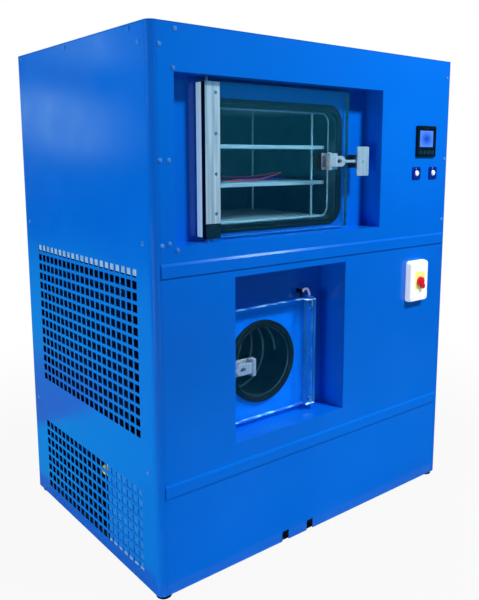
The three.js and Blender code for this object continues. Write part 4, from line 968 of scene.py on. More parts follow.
# %% Bent pipe, two flanges and their screws
DUCT, DUCT_BORE, DUCT_BEND = 50, 47, 75
run_y = at("vapour_duct")[3] - DUCT
ends = ((chamber_back + GAP, port_z), (vessel_back + GAP, axis_z))
(upper_end, _), (lower_end, _) = ends
route = [(port_x, upper_end, port_z), (port_x, run_y, port_z), (port_x, run_y, axis_z),
    (port_x, lower_end, axis_z)]
parts = [tube(bent(route, DUCT_BEND, 12), DUCT, 40, DUCT_BORE)]
for y, z in ends:
    parts.append(turned([(DUCT, 0), (69, 0), (70, 1), (70, 7), (69, 8), (DUCT, 8), (DUCT, 0)],
        "y", port_x, z, 64, y))
    parts += [screw("y", port_x + 60 * math.cos(t), z + 60 * math.sin(t), y + 8, 1, 4, 3)
        for t in (math.pi / 4 * (i + 0.5) for i in range(8))]
made("vapour_duct_shown", together(*parts), "stainless", steel)

# %% [markdown]
# ## The compressor
# A hermetic pot with a welded belt, on a bolted sole, with a suction stub. It is bought in, black, and
# only glimpsed through the grilles. Sculpted dents would be lost there; a turned pot with true
# proportions is enough.

# %% Compressor
POT, BOLT, STUB_RISE = 105, 88, 175
x0, x1, y0, y1, base, _ = at("compressor")
pot_x, pot_y, stub_z = x0 + POT, (y0 + y1) / 2, base + STUB_RISE
pot = turned([(0, 6), (68, 6), (79, 8), (90, 15), (100, 29), (POT, 44), (POT, 111), (106.5, 112.4),
    (110, 114), (110, 118), (106.5, 119.6), (POT, 121), (POT, 203), (102, 220), (93, 234),
    (78, 242), (50, 247.5), (24, 249.6), (0, 250)], "z", pot_x, pot_y, 72, base)
sole = cut_plate([pill(x0 + 0.5, x0 + 2 * POT - 0.5, y0 + 0.5, y1 - 0.5, 16, 5)], base, base + 8,
    "z", 1.2)
bolts = [nut("z", pot_x + a, pot_y + b, base + 8, base + 14, 15, 3)
    for a in (-BOLT, BOLT) for b in (-BOLT, BOLT)]
stub = tube(bent([(pot_x + 96, pot_y, stub_z), (x1 - 3, pot_y, stub_z)], 4), 8)
collar = turned([(0, -6), (9, -6), (9, 0), (6, 0), (0, 0)], "x", pot_y, stub_z, 32, x1)
made("compressor_shown", together(pot, sole, *bolts, stub, collar), "pot_paint", pot_black)

# %% [markdown]
# ## The vacuum pump
# An oil case with a finned motor behind it, on cast feet, with an inlet flange on top. The fins stand
# round the motor like spokes. An array about an empty could repeat one; a loop that turns a copy about
# the motor's axis does it without a helper object.

# %% Vacuum pump: oil case, finned motor, foot and inlet
CASE, SOLE, FINS, MOTOR_RISE, CASE_RISE = 150, 12, 24, 95, 68
pump_x, pump_end, pump_y0, _, base, inlet_top = at("vacuum_pump")
_, pump_y, _ = middle("vacuum_pump")
split, floor_z = pump_x + CASE, base + SOLE
mid_z = floor_z + MOTOR_RISE
case_top = mid_z + CASE_RISE
side = pill(pump_y - 60, pump_y + 60, floor_z, case_top, 10)
case = ease(stack([(side, pump_x), (side, split + 5)], "x"), 3, 3)
motor = turned([(0, split), (70, split), (75, split + 6), (75, pump_end - 22), (71, pump_end - 20),
    (71, pump_end - 5), (64, pump_end), (12, pump_end), (11, pump_end - 2), (0, pump_end - 2)],
    "x", pump_y, mid_z, 72)
fins = [
    spun(block(split + 24, split + 156, pump_y - 1.6, pump_y + 1.6, mid_z + 70, mid_z + 83, 1),
        "X", (0, pump_y, mid_z), 360 / FINS * i)
    for i in range(FINS)
]
feet = [block(pump_x + 20, pump_end - 20, pump_y - 52, pump_y + 52, base, floor_z + 5, 2),
    block(split + 30, pump_end - 40, pump_y - 30, pump_y + 30, floor_z, mid_z - 60, 3)]
inlet = turned([(0, case_top - 5), (13, case_top - 5), (13, case_top + 28), (16, case_top + 32),
    (16, inlet_top), (11, inlet_top), (11, inlet_top - 8), (0, inlet_top - 8)],
    "z", pump_x + 50, pump_y)
made("vacuum_pump_shown", together(case, motor, *fins, *feet, inlet), "pot_paint", pot_black)

# %% Its oil sight glass and filler plug
sight = together(
    turned([(9, 23), (15, 23), (15, 19), (13, 17.5), (9, 18), (9, 23)],
        "y", pump_x + CASE / 2, floor_z + 46, start=pump_y0),
    nut("z", pump_x + 105, pump_y, case_top - 1, case_top + 9, 24, 4),
)
made("pump_sight_ring", sight, "stainless", steel)

# %% [markdown]
# ## The heat exchanger and its fan
# Air is drawn through thin dark blue fins, pressed on copper tubes in a painted frame, by an axial fan in
# a shroud with a rolled ring. A striped texture could suggest the fins, but close behind the grille
# they need real gaps, and sheets of one quad a side are cheap.

# %% Heat exchanger: painted frame, thin dark blue fins, copper tubes
LEAVES, LEAF, RIB, TUBES, TUBE_PITCH = 96, 0.5, 14, 11, 37
x0, x1, y0, y1, z0, z1 = at("heat_exchanger")
exchanger = ["heat_exchanger"]
opening = pill(y0 + RIB, y1 - RIB, z0 + RIB, z1 - RIB, 1, 2)
surround = cut_plate([pill(y0, y1, z0, z1, 1.5, 2), opening], x0, x1, "x", 0.6)
made("exchanger_frame", surround, "brushed_aluminium", frame_steel, nodes=exchanger)
spacing = (y1 - y0 - 30) / LEAVES
leaves = [
    block(x0 + 3, x1 - 3, y, y + LEAF, z0 + 13, z1 - 13)
    for y in (y0 + 15 + spacing * (i + 0.5) for i in range(LEAVES))
]
made("exchanger_fins", together(*leaves), "brushed_aluminium", foil, nodes=exchanger)
pipes = [
    tube([(x, y0 + 10, z), (x, y1 - 10, z)], 4.6)
    for x in (x0 + 12, x0 + 32) for z in (z0 + 34 + TUBE_PITCH * i for i in range(TUBES))
]
made("exchanger_pipes", together(*pipes), "brushed_aluminium", copper, nodes=exchanger)

# %% Fan shroud with its rolled ring, spider and motor
SHROUD, MOUTH, ARM = 60, 171, 174
near, _, y0, y1, z0, z1 = at("fan_shroud")
_, fan_y, fan_z = middle("fan_shroud")
far = near + SHROUD
hub_point = (0, fan_y, fan_z)
outer, inner = pill(y0, y1, z0, z1, 3, 3), pill(y0 + 2, y1 - 2, z0 + 2, z1 - 2, 1, 3)
walls = stack([(outer, near), (outer, far), (inner, far), (inner, near)], "x", True)
back = cut_plate([inner, circle(fan_y, fan_z, MOUTH + 0.5, 72)], far - 2, far, "x", 0.4, 1)
rolled = turned([(MOUTH, -14), (MOUTH, 3), (MOUTH + 2.5, 6), (MOUTH + 8, 6), (MOUTH + 8, 4.5),
    (MOUTH + 3.5, 4), (MOUTH + 1.8, 2), (MOUTH + 1.8, -14), (MOUTH, -14)], "x", fan_y, fan_z, 72, far)
spider = [
    spun(block(far, far + 6, fan_y - 7, fan_y + 7, fan_z - ARM, fan_z + ARM, 1), "X", hub_point, turn)
    for turn in (45, 135)
]
drive = turned([(0, -30), (5, -30), (5, 0), (36, 0), (40, 4), (40, 60), (36, 68), (20, 70), (0, 70)],
    "x", fan_y, fan_z, 64, far)
made("fan_shroud_shown", together(ease(walls, 0.5, 1), back, rolled, *spider, drive), "dark_steel",
    frame_steel)


# %% [markdown]
# ## The fan's rotor
# Five blades on a moulded hub. Each grows wider and flatter towards its tip, and leans into the turn. A
# flat plate with a twist modifier comes close; lofting a flattened oval from root to tip sets the chord,
# the pitch and the lean at every cut.

# %% Fan blades twist as they reach outwards
def blade(turn, low=40.0, high=165.0, cuts=9, points=16):
    rings = []
    for i in range(cuts + 1):
        t = i / cuts
        reach, chord, thick, lean = low + (high - low) * t, 46 + 20 * t, 1.5 - 0.5 * t, 10 * t * t
        pitch = math.radians(38 - 12 * t)
        ring = []
        for along, across in ring_of(0, 0, chord / 2, thick, points):
            axial = along * math.sin(pitch) + across * math.cos(pitch)
            around = along * math.cos(pitch) - across * math.sin(pitch) + lean
            ring.append((hub_mid + axial, fan_y + around, fan_z + reach))
        rings.append(ring)
    return spun(loft(rings), "X", hub_point, turn)


BLADES = 5
hub_near, hub_far, *_ = at("fan_rotor")
hub_mid = (hub_near + hub_far) / 2
hub = turned([(5.6, hub_far), (40, hub_far), (42, hub_far - 2), (42, hub_near + 8), (38, hub_near + 2),
    (28, hub_near), (5.6, hub_near), (5.6, hub_far)], "x", fan_y, fan_z, 64)
rotor = together(hub, *[blade(360 / BLADES * i) for i in range(BLADES)])
made("fan_rotor_shown", rotor, "black_plastic", black_plastic, body="fan")

# %% [markdown]
# ## The cable gland
# The mains lead would enter by a black gland in the rear panel, held by a nut on each side. Body and
# nuts are turned; the nuts' flats come from an outline whose radius follows a hexagon.

# %% Cable gland in the rear panel
x, _, z = middle("cable_gland")
y0, y1 = at("cable_gland")[2:4]
gland = together(
    turned([(0, y0), (12, y0), (12, DEEP + GAP), (16, DEEP + 9), (16, DEEP + 18), (14, DEEP + 24),
        (10, y1), (7, y1), (7, y1 - 10), (0, y1 - 10)], "y", x, z),
    nut("y", x, z, DEEP + GAP, DEEP + 9, 37, 12),
    nut("y", x, z, y0 + 4, y0 + 9, 34, 12),
)
made("cable_gland_shown", gland, "black_plastic", black_plastic)

# %% [markdown]
# ## The upper door
# One clear plate with softened corners, hung on a brushed bar that turns on a steel rod. A dark block
# closes the bar's foot. One material over the whole plate would make its edges as clear as its faces,
# so each face is picked by the way it points, and the edges get finishes of their own.

# %% The plate: clear faces, sanded edges; the last finish is the edge on the left
def door_plate(node, body, *finishes):
    x0, x1, y0, y1, z0, z1 = at(node)
    sheet = cut_plate([pill(x0, x1, z0, z1, 6, 5)], y0, y1, "y", 0.8)
    coat(sheet, 1, lambda face: abs(face.normal.y) < 0.9)
    coat(sheet, len(finishes) - 1, lambda face: face.normal.x < -0.9)
    made(node + SHOWN, sheet, "acrylic", *finishes, body=body)


door_plate("upper_door_plate", "upper_door", acrylic, deep_edge, sanded_edge)

# %% Hinge bar, its foot, its screws and the rod it turns on
FOOT, PIN, PIN_BORE = 38, 4, 4.6
x0, x1, y0, y1, z0, z1 = at("upper_hinge_bar")
rod_x, rod_y, _ = middle("upper_hinge_rod")
for name, low, high, slot, paint in (
    ("upper_hinge_bar_shown", z0 + FOOT, z1, "brushed_aluminium", brushed),
    ("upper_hinge_foot", z0, z0 + FOOT - GAP, "black_plastic", foot_plastic),
):
    outline = pill(x0, x1, y0, y1, 0.8, 2)
    bar = cut_plate([outline, circle(rod_x, rod_y, PIN_BORE, 32)], low, high, "z", 0.7)
    # The left side faces of the bar and of its foot are black: painted shade, where that side stands in
    # shadow.
    coat(bar, 1, lambda face: face.normal.x < -0.9)
    made(name, bar, slot, paint, black_plastic, body="upper_door", nodes=["upper_hinge_bar"])
sunk = [screw("y", x1 - 13, z0 + rise, y0, -1, 4.2, 0.6) for rise in (62, 160, 258, 356)]
made("upper_bar_screws", together(*sunk), "stainless", steel, body="upper_door")
*_, z0, z1 = at("upper_hinge_rod")
pivot_rod = turned([(0, z0), (3.2, z0), (PIN, z0 + 0.8), (PIN, z1 - 0.8), (3.2, z1), (0, z1)],
    "z", rod_x, rod_y, 32)
made("upper_hinge_rod_shown", pivot_rod, "stainless", steel)

# %% [markdown]
# ## The lower door
# A smaller plate, almost colourless, on a clear bar: the steel pivot pins can be seen inside it. Two
# small painted brackets hold the pins. The bar is bored right through for them, not just overlapped,
# because clear material shows whatever is hidden inside it.

# %% Plate and clear bar
door_plate("lower_door_plate", "lower_door", clearer, blue_edge)
x0, x1, y0, y1, z0, z1 = at("lower_hinge_bar")
pin_x, pin_y = x1 - 10, at("lower_door_plate")[2] - 8
bar = cut_plate([pill(x0, x1, y0, y1, 1.2, 2), circle(pin_x, pin_y, PIN_BORE, 32)], z0, z1, "z", 0.6)
# Its ends take the pale edge finish as painted highlights; its sides take soft blue, a painted view of the
# blue recess through the clear bar.
coat(bar, 1, lambda face: abs(face.normal.z) > 0.5)
coat(bar, 2, lambda face: abs(face.normal.x) > 0.9)
made("lower_hinge_bar_shown", bar, "acrylic", clearer, sanded_edge, soft_edge, body="lower_door")
pegs = [screw("y", x0 + 11, z, y0, -1, 3.6, 0.8) for z in (z0 + 24, (z0 + z1) / 2, z1 - 24)]
made("lower_bar_screws", together(*pegs), "stainless", steel, body="lower_door")

# %% Painted brackets and bright pins
PLAY, ARM_THICK, NOSE = 2 * GAP, 6, 8
brackets = ["lower_hinge_top_bracket", "lower_hinge_bottom_bracket"]
plate_foot, plate_top = at("lower_door_plate")[4:]
x0, x1, _, y1, _, z1 = at(brackets[0])
under = plate_top + PLAY
over = under + ARM_THICK
nose = arc(pin_x, pin_y, NOSE, 1, 2, 12)[1:-1]
arm = cut_plate([[(x0, y1), (x0, pin_y), *nose, (x1, pin_y), (x1, y1)]], under, over, "z", 0.8)
riser = block(x0, x1, y1 - 4, y1, under, z1, 0.8)
made("lower_top_bracket_shown", together(arm, riser), "blue_paint", enamel, nodes=brackets[:1])
x0, x1, y0, y1, z0, z1 = at(brackets[1])
stand = cut_plate([pill(x0, x1, y0, y1, 3)], z0, plate_foot - PLAY, "z", 0.8)
made("lower_bottom_bracket_shown", stand, "blue_paint", enamel, nodes=brackets[1:])
pins = together(
    turned([(0, -22), (3.2, -22), (PIN, -21), (PIN, 6), (6.5, 6), (6.5, 8), (5, 9.5), (0, 9.5)],
        "z", pin_x, pin_y, 32, under),
    turned([(0, -1.6), (PIN, -1.6), (PIN, 20), (3.2, 21), (0, 21)], "z", pin_x, pin_y, 32, plate_foot),
)
made("lower_pivot_pins", pins, "stainless", steel, nodes=brackets)

# %% [markdown]
# ## The latches
# Each door closes with a swing arm: a hub between two ears, a body with an oval window, a neck that drops
# into a notched keeper, and a flat hand plate across the end. The lower one is the mirror image. A
# Mirror modifier would keep both halves in one piece; here the same functions draw both latches, and
# the lower one is mirrored and has its faces turned back out.

# %% The bracket's ears and base
EAR, HUB = 7, 9


def latch_bracket(pin_x, pin_y, mid_z, back):
    z0, z1 = mid_z - 23, mid_z + 23
    outline = [(pin_x - HUB, back - 1), *arc(pin_x, pin_y, HUB, 1, 2, 14), (pin_x + HUB, back - 1)]
    ears = [cut_plate([outline], z, z + EAR, "z", 0.8) for z in (z0, z1 - EAR)]
    base = cut_plate([pill(pin_x - 14, pin_x + 48, z0, z1, 3, 4)], back - 4, back, "y", 0.8)
    pin = turned([(0, z0 - 2), (4.6, z0 - 2), (6, z0 - 1), (6, z0), (4, z0), (4, z1), (6, z1), (6, z1 + 1),
        (4.6, z1 + 2), (0, z1 + 2)], "z", pin_x, pin_y, 32)
    fixings = [screw("y", pin_x + 39, mid_z + dz, back - 4, -1, 4) for dz in (-14, 14)]
    return together(base, *ears, pin, *fixings)


# %% The arm with its oval window and hand plate
HALF, NECK_HALF, SHOULDER, EASE_OFF = 15.4, 4, 56, 6


def latch_arm(pin_x, pin_y, mid_z, reach, wide, tall):
    end = pin_x + reach
    shoulder = pin_x + min(SHOULDER, reach - wide)
    bend = (shoulder - pin_x) / 4
    start, turn, stop = (shoulder - bend, HALF), (shoulder, HALF), (shoulder + EASE_OFF, NECK_HALF)
    curve = [
        tuple((1 - t) ** 2 * a + 2 * t * (1 - t) * b + t * t * c for a, b, c in zip(start, turn, stop))
        for t in (i / 8 for i in range(9))
    ]
    side = [(pin_x, HALF), *curve, (end - 4, NECK_HALF)]
    outline = [(x, mid_z + z) for x, z in side] + [(x, mid_z - z) for x, z in side[::-1]]
    window = ring_of(shoulder - bend - 4, mid_z, 9, 5.5, 32)
    body = cut_plate([outline, window], pin_y - 6, pin_y + 6, "y", 1.3, 3)
    hub = turned([(PIN_BORE, -HALF), (8.2, -HALF), (HUB, 0.8 - HALF), (HUB, HALF - 0.8), (8.2, HALF),
        (PIN_BORE, HALF), (PIN_BORE, -HALF)], "z", pin_x, pin_y, 48, mid_z)
    plate_y, post_x = pin_y - 12, end - wide / 2
    hand = cut_plate([pill(end - wide, end, mid_z - tall / 2, mid_z + tall / 2, 4, 5)],
        plate_y, plate_y + 4, "y", 1.2, 3)
    post = turned([(0, 3), (5.5, 3), (4, 6), (4, 12), (0, 12)], "y", post_x, mid_z, 32, plate_y)
    grub = screw("y", shoulder + 2, mid_z, pin_y - 6, -1, 3, 1.2)
    cap = screw("y", post_x, mid_z, plate_y, -1, 4.6, 1.6)
    return together(body, hub, hand, post, grub, cap)


# %% Both latches; mirroring across the door's edge makes the lower one
def mirrored(bm, x):
    bm.transform(Matrix.Translation((x, 0, 0)) @ Matrix.Scale(-1, 4, (1, 0, 0))
        @ Matrix.Translation((-x, 0, 0)))
    bmesh.ops.reverse_faces(bm, faces=bm.faces)
    return bm


PIN_OUT = 18
for level, edge_of, pin_in, reach, wide, tall in (
    ("upper", 1, 95, 153, 49, 84), ("lower", 0, 69, 90, 22, 36),
):
    edge, front = at(level + "_door_plate")[edge_of], at(level + "_door_plate")[2]
    *_, mid_z = middle(level + "_latch_bracket")
    pin_x, pin_y = edge - pin_in, front - PIN_OUT
    bracket = latch_bracket(pin_x, pin_y, mid_z, front - GAP)
    arm = latch_arm(pin_x, pin_y, mid_z, reach, wide, tall)
    if level == "lower":
        bracket, arm = mirrored(bracket, edge), mirrored(arm, edge)
    made(level + "_latch_bracket_shown", bracket, "stainless", bright_steel, body=level + "_door")
    made(level + "_latch_arm_shown", arm, "stainless", bright_steel, body=level + "_latch")
# The latch keepers take the same darker steel as the chambers' insides.
dress("stainless", inner_steel, 0.9, "upper_latch_keeper", "lower_latch_keeper")

# %% [markdown]
# ## Vent and drains
# A vent stub above the lower door carries a short white tube; two drain spouts stand in notches at the
# foot of the front. The tube is open, so it is drawn with a bore: a solid wire would show a flat end.

# %% Vent stub and tube
x0, x1, y0, y1, z0, z1 = at("vent_port")
vent_x, vent_z = (x0 + x1) / 2, z1 - 7
stub = together(
    turned([(0, y1), (7, y1), (7, y1 - 5), (5.6, y1 - 6), (5.6, y0 + 4), (5, y0), (0, y0)],
        "y", vent_x, vent_z),
    turned([(0, z0), (3, z0), (4, z0 + 3), (3, z0 + 6), (4, z0 + 9), (4, vent_z), (0, vent_z)],
        "z", vent_x, y0 + 8, 32),
)
made("vent_port_shown", stub, "black_plastic", black_plastic)
hose = bent([
    (vent_x + dx, y0 + dy, vent_z + dz)
    for dx, dy, dz in ((0, 2, 0), (2, -1, 8), (22, 4, 6), (40, 15, -14), (49, 18, -42))
], 7)
made("vent_tube", tube(hose, 3.2, 16, 2.2), "white_plastic", hose_white)

# %% Drain spouts
for node in ("drain_outlet_left", "drain_outlet_right"):
    x, _, z = middle(node)
    y0, y1 = at(node)[2:4]
    spout = turned([(4, y0), (5.6, y0), (6, y0 + 0.6), (6, y0 + 5), (8.4, y0 + 5), (9, y0 + 5.8),
        (9, y1 - 0.5), (8.5, y1), (0, y1), (0, y1 - 3), (4, y1 - 3), (4, y0)], "y", x, z, 40)
    made(node + SHOWN, spout, "black_plastic", black_plastic)

# %% [markdown]
# ## The panel instrument
# A square black housing with a lit display and four keys under it. Its rim, its chamfer and the step
# down to the display are one skin, lofted through rounded squares that shrink from ring to ring; an
# inset and a bevel by hand would give the same, but couldn't follow the display's size.

# %% Instrument housing, with the display set into it
x0, x1, y0, y1, z0, z1 = at("controller_housing")
mid_x, _, mid_z = middle("controller_housing")
glass_x0, glass_x1, glass_front, glass_back, glass_z0, glass_z1 = at("controller_screen")
glass = (glass_x0 - GAP, glass_x1 + GAP, glass_z0 - GAP, glass_z1 + GAP)
square = (x0, x1, z0, z1)
BODY_HALF = 45
bezel = stack(
    [(grown(square, grow, 5, 5), y) for grow, y in
        ((0, -GAP), (0, y0 + 1.8), (-0.5, y0 + 0.6), (-1.8, y0))]
    + [(grown(glass, grow, 1, 5), y) for grow, y in
        ((2.4, y0), (1.8, y0 + 0.3), (0, y0 + 1.6), (0, y0 + 3))], "y")
case = block(mid_x - BODY_HALF, mid_x + BODY_HALF, -GAP - 1, y1, mid_z - BODY_HALF, mid_z + BODY_HALF, 1)
made("controller_shown", together(bezel, case), "black_plastic", black_plastic,
    nodes=["controller_housing"])
pane = stack([(grown(glass, -GAP - inset, 1, 5), y) for inset, y in
    ((0, glass_back), (0, glass_front + 0.5), (0.6, glass_front))], "y")
made("controller_screen_shown", pane, "screen", screen_glass)

# %% Keys and a small status window
keys = [
    cut_plate([pill(mid_x + dx - 7.5, mid_x + dx + 7.5, z0 + 9, z0 + 20, 2.4, 4)],
        y0 - 0.5, y0 + 0.4, "y", 0.3)
    for dx in (-29, -9.7, 9.7, 29)
]
made("controller_keys", together(*keys), "black_plastic", key_plastic)
window = cut_plate([pill(mid_x - 6, mid_x + 6, z1 - 8.5, z1 - 6, 1.2, 4)],
    y0 - 0.2, y0 + 0.3, "y", 0.1, 1)
made("controller_window", window, "black_plastic", key_plastic)

# %% [markdown]
# ## The push-buttons
# Two round lit caps in square bezels, each with a small printed mark. A cap travels inward, so its
# socket is as deep as the real bore: the cap may not meet the bottom when it is pressed.

# %% Push-buttons: a socket in a square bezel, its printed mark, and the lit cap
SOCKET_DEPTH = 23
for name in ("start", "stop"):
    node = name + "_button_bezel"
    x0, x1, y0, y1, z0, z1 = at(node)
    x, _, z = middle(node)
    barrel = [(dot(x, z, radius, 5), y) for radius, y in ((0.1, y1), (11, y1), (11, -GAP))]
    face = [(grown((x0, x1, z0, z1), grow, 5, 5), y) for grow, y in
        ((0, -GAP), (0, y0 + 1.2), (-1, y0))]
    ring = [(dot(x, z, radius, 5), y0 + sink) for radius, sink in
        ((12.5, 0), (11.8, -0.8), (10.4, -0.8), (9.6, 0.4), (9.6, SOCKET_DEPTH), (0.1, SOCKET_DEPTH))]
    made(name + "_bezel_shown", stack(barrel + face + ring, "y"), "black_plastic", navy_plastic,
        nodes=[node])
    mark = cut_plate([pill(x - 6.5, x - 3, z + 15, z + 16.6, 0.7, 3)], y0 - 0.1, y0 + 0.2, "y", 0.05, 1)
    made(name + "_mark", mark, "white_plastic", hose_white)
    y0, y1 = at(name + "_button")[2:4]
    cap = turned([(0, y1), (9, y1), (9, y0 + 4.2), (8.3, y0 + 3.2), (7.8, y0 + 3), (7.8, y0 + 1.5),
        (7.2, y0 + 0.7), (5.4, y0 + 0.2), (2.8, y0), (0, y0)], "y", x, z)
    made(name + "_button_shown", cap, "lit_plastic", lit_plastic, body=name + "_push")

# %% [markdown]
# ## The isolator
# A white rotary isolator with a red handle on a yellow plate. Its box is a base and a lid with a shadow
# line between them. Two boxes with bevels would do; one skin of nine outlines draws the base, the line
# and the domed lid together. Where the real plate is printed, this one stays plain.

# %% Isolator: base, lid with a shadow line, and four cover screws
x0, x1, y0, y1, z0, z1 = at("isolator_box")
turn_x, _, turn_z = middle("isolator_box")
shell = stack([
    (grown((x0, x1, z0, z1), grow, 12, 8), y) for grow, y in ((0, y1), (0, -7.8), (-0.8, -8.2),
        (-0.8, -8.8), (-0.3, -9.2), (-1.2, -15.5), (-2.1, -17.8), (-3.6, -19.4), (-6, y0))
], "y")
made("isolator_shown", shell, "white_plastic", white_plastic, nodes=["isolator_box"])
wells = [screw("y", x, z, y0 + SUNK, -1, 3.4, 0.7) for x in (x0 + 12, x1 - 12)
    for z in (z0 + 12, z1 - 12)]
made("isolator_screws", together(*wells), "white_plastic", hose_white)

# %% Its yellow plate and padlock eye
plate = cut_plate([pill(turn_x - 22, turn_x + 27, turn_z - 27, turn_z + 31, 2, 4)], y0 - 1, y0,
    "y", 0.25)
made("isolator_plate", plate, "white_plastic", yellow_label)
eye = turned([(2.6, 0.1), (4, 0.1), (4, -0.6), (2.6, -0.6), (2.6, 0.1)],
    "y", turn_x, turn_z - 37, 32, y0)
made("isolator_eye", eye, "white_plastic", hose_white)

# %% Red handle: a round hub and a grip that points down to the right
HUB_BACK, GRIP_LOW, GRIP_HIGH, TURNED_BY = -21.5, 18.5, 4, 30
y0, y1 = at("isolator_knob")[2:4]
hub = turned([(0, y1), (4, y1), (4, HUB_BACK), (15, HUB_BACK), (15, HUB_BACK - 6.4),
    (14.4, HUB_BACK - 8), (12.6, HUB_BACK - 9), (0, HUB_BACK - 9)], "y", turn_x, turn_z, 64)
grip = stack([
    (pill(turn_x - w, turn_x + w, turn_z - GRIP_LOW - w, turn_z + GRIP_HIGH + w / 3, w), y)
    for w, y in ((7.5, HUB_BACK), (7.5, HUB_BACK - 8.6), (6.9, HUB_BACK - 10.2), (5.6, y0))
], "y")
knob = together(hub, spun(grip, "Y", (turn_x, 0, turn_z), -TURNED_BY))
made("isolator_knob_shown", knob, "red_plastic", red_plastic, body="isolator_handle")

# %% [markdown]
# ## A white studio
# A panorama of a real studio would need a picture file and couldn't be aimed, so six soft boxes light
# the machine. The key stands high at the front right and aims past the front, so the doors and the heads
# of the recesses throw their shadows down and to the left. A small glint box beside it is the one lamp
# that polished parts mirror. A low box lifts the foot of the front; two more light the left side, one
# from behind the front plane and one that grazes along it; the last lights the right side and the back.

# %% Soft boxes
def soft_box(name, where, aim, size, watts, spread=180, colour=(1, 1, 1), mirrored=False):
    lamp = bpy.data.lights.new(name, "AREA")
    lamp.shape = "RECTANGLE"
    lamp.size, lamp.size_y = size
    lamp.energy = watts
    lamp.spread = math.radians(spread)
    lamp.color = colour
    obj = bpy.data.objects.new(name, lamp)
    obj.location = where
    obj.rotation_euler = (Vector(aim) - Vector(where)).to_track_quat("-Z", "Y").to_euler()
    obj.visible_glossy = mirrored
    scene.collection.objects.link(obj)
    print(name, watts, "W")


soft_box("key_box", (0.7, -1.9, 2.7), (0.7, -2.3, 0.0), (0.4, 0.4), 110)
soft_box("glint_box", (1.72, -2.0, 2.6), (0.0, -0.4, 0.7), (0.32, 0.14), 8,
    colour=(0.62, 0.86, 1.0), mirrored=True)
soft_box("low_box", (-0.3, -2.2, 0.3), (-0.15, -0.4, -0.02), (1.6, 0.2), 1.1, spread=40)
soft_box("left_box", (-4.2, 0.9, 2.0), (-0.5, 0.0, 0.7), (1.6, 1.6), 106)
soft_box("graze_box", (-3.2, -1.2, 0.35), (-0.5, -0.3, 0.3), (1.0, 0.6), 22)
soft_box("back_box", (3.4, 3.2, 2.4), (0.3, 0.2, 0.7), (1.6, 1.6), 190)

# %% [markdown]
# ## White where it is looked at
# A white room would flood every surface with light. Light Path nodes let the room and the floor be
# white only for the eye, straight on or through a clear sheet, and dim for everything else.

# %% 1 where a ray comes from the camera or through a clear sheet
def looked_at(tree):
    rays = add(tree, "LightPath", {})
    either = add(tree, "Math",
        {0: rays.outputs["Is Camera Ray"], 1: rays.outputs["Is Transmission Ray"]})
    either.operation = "MAXIMUM"
    return either.outputs[0]


# %% The room
world = bpy.data.worlds.new("white_room")
scene.world = world
world.use_nodes = True
tree = world.node_tree
dim = tree.nodes["Background"]
dim.inputs["Color"].default_value = (0.9, 0.95, 1.0, 1.0)
dim.inputs["Strength"].default_value = 0.09
bright = add(tree, "Background", {"Color": (1, 1, 1, 1), "Strength": 1.0})
choose = add(tree, "MixShader",
    {"Fac": looked_at(tree), 1: dim.outputs["Background"], 2: bright.outputs["Background"]})
tree.links.new(choose.outputs["Shader"], tree.nodes["World Output"].inputs["Surface"])
print("room strength", dim.inputs["Strength"].default_value)

# %% [markdown]
# ## What the polished surfaces see
# Clear doors would mirror the white room and fog the chamber behind them, so cards of calm teal and
# cyan stand where they look: a brighter one for the upper door, a darker one for the rest of the front,
# one beside the left side, and two flags flat on the floor. Two window shapes put soft panes of light
# on the left side. The cards cast no shade and light nothing. Those on the left are hidden from clear
# sheet too, so that an opened door shows white behind it.

# %% A flat card on the studio set
def card(name, corners, material):
    mesh = bpy.data.meshes.new(name)
    mesh.from_pydata(corners, [], [tuple(range(len(corners)))])
    mesh.materials.append(material)
    obj = bpy.data.objects.new(name, mesh)
    scene.collection.objects.link(obj)
    obj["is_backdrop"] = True
    return obj


def only_mirrored(name, corners, material, through_acrylic):
    held = card(name, corners, material)
    held.visible_camera = held.visible_diffuse = held.visible_shadow = False
    held.visible_transmission = through_acrylic


# %% Card and window finishes
def matt(name, colour, glow):
    return mottled(finish(name, colour, 0.9, specular=0.0, glow=glow), 0.86, 0.94, 3.0)


teal_card = matt("teal_card", (14, 84, 124), 1.0)
cyan_card = matt("cyan_card", (44, 176, 194), 1.0)
door_card = matt("door_card", (22, 112, 146), 1.4)
window_white = matt("window_white", (196, 248, 240), 0.9)

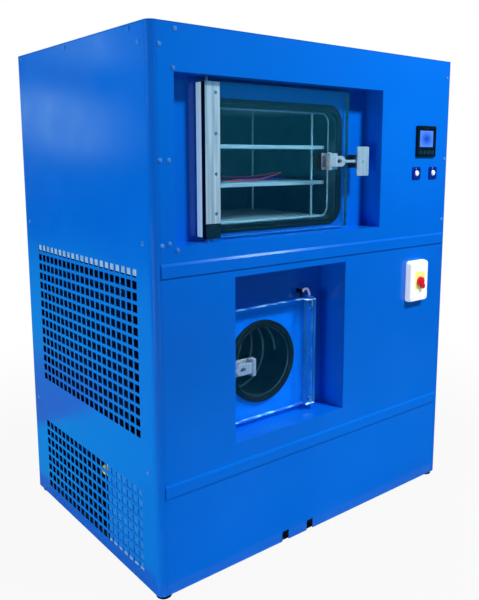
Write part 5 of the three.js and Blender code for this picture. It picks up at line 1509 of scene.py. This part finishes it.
# %% Upright cards
FRONT_CARD, LEFT_CARD, SPLIT, FLOOR_LIFT = -2.1, -3.0, 0.98, 0.01
for name, (x0, x1), (z0, z1), paint in (
    ("door_card", (0.1, 3.4), (SPLIT, 1.8), door_card),
    ("right_card", (0.1, 3.4), (0, SPLIT), teal_card),
):
    corners = [(x, FRONT_CARD, z) for x, z in ((x0, z0), (x1, z0), (x1, z1), (x0, z1))]
    only_mirrored(name, corners, paint, True)
corners = [(LEFT_CARD, y, z) for y, z in ((-0.4, 0), (7.0, 0), (7.0, 3.2), (-0.4, 3.2))]
only_mirrored("left_card", corners, teal_card, False)

# %% Flags on the floor
front_outline = [(-1.0, FRONT_CARD), (3.4, FRONT_CARD), (3.4, -0.42), (-1.0, -0.42)]
left_outline = [(LEFT_CARD, -0.6), (-0.6, -0.6), (-0.6, 0.9), (-1.15, 0.9), (-1.15, 7.0),
    (LEFT_CARD, 7.0)]
only_mirrored("front_flag", [(x, y, FLOOR_LIFT) for x, y in front_outline], teal_card, True)
only_mirrored("left_flag", [(x, y, FLOOR_LIFT) for x, y in left_outline], cyan_card, False)

# %% Two windows that the glossy side catches
for name, outline in {
    "tall_window": [(5.6, 1.4), (5.6, 1.8), (4.6, 1.72), (3.95, 1.6), (3.4, 1.43), (3.4, 1.15),
        (3.95, 1.06), (4.6, 1.2)],
    "high_window": [(4.3, 1.92), (4.3, 2.1), (3.2, 2.2), (3.2, 1.84)],
}.items():
    only_mirrored(name, [(-2.4, y, z) for y, z in outline], window_white, False)

# %% A pale floor, a touch greyer near the machine, that fades into the white
REACH, NEAR, AWAY_FROM_IT = 14.0, 1.0, 2.2
floor_white = finish("studio_white", (128, 128, 128), 0.9, specular=0.0)
card("studio_floor", [(-REACH, -REACH, 0), (REACH, -REACH, 0), (REACH, REACH, 0), (-REACH, REACH, 0)],
    floor_white)
tree = floor_white.node_tree
where = add(tree, "TexCoord", {})
distance = add(tree, "VectorMath", {0: where.outputs["Object"]})
distance.operation = "LENGTH"
fading = add(tree, "MapRange", {"Value": distance.outputs["Value"], "From Min": NEAR,
    "From Max": AWAY_FROM_IT, "To Min": 0.93, "To Max": 1.0})
shown = add(tree, "Math", {0: fading.outputs["Result"], 1: looked_at(tree)})
shown.operation = "MULTIPLY"
glow = add(tree, "Emission", {"Strength": 1.0})
mixed(tree, shown.outputs[0], glow.outputs["Emission"])
print("floor", 2 * REACH, "m across")

# %% The bounds of everything shown, with the studio set left out
low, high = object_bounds()
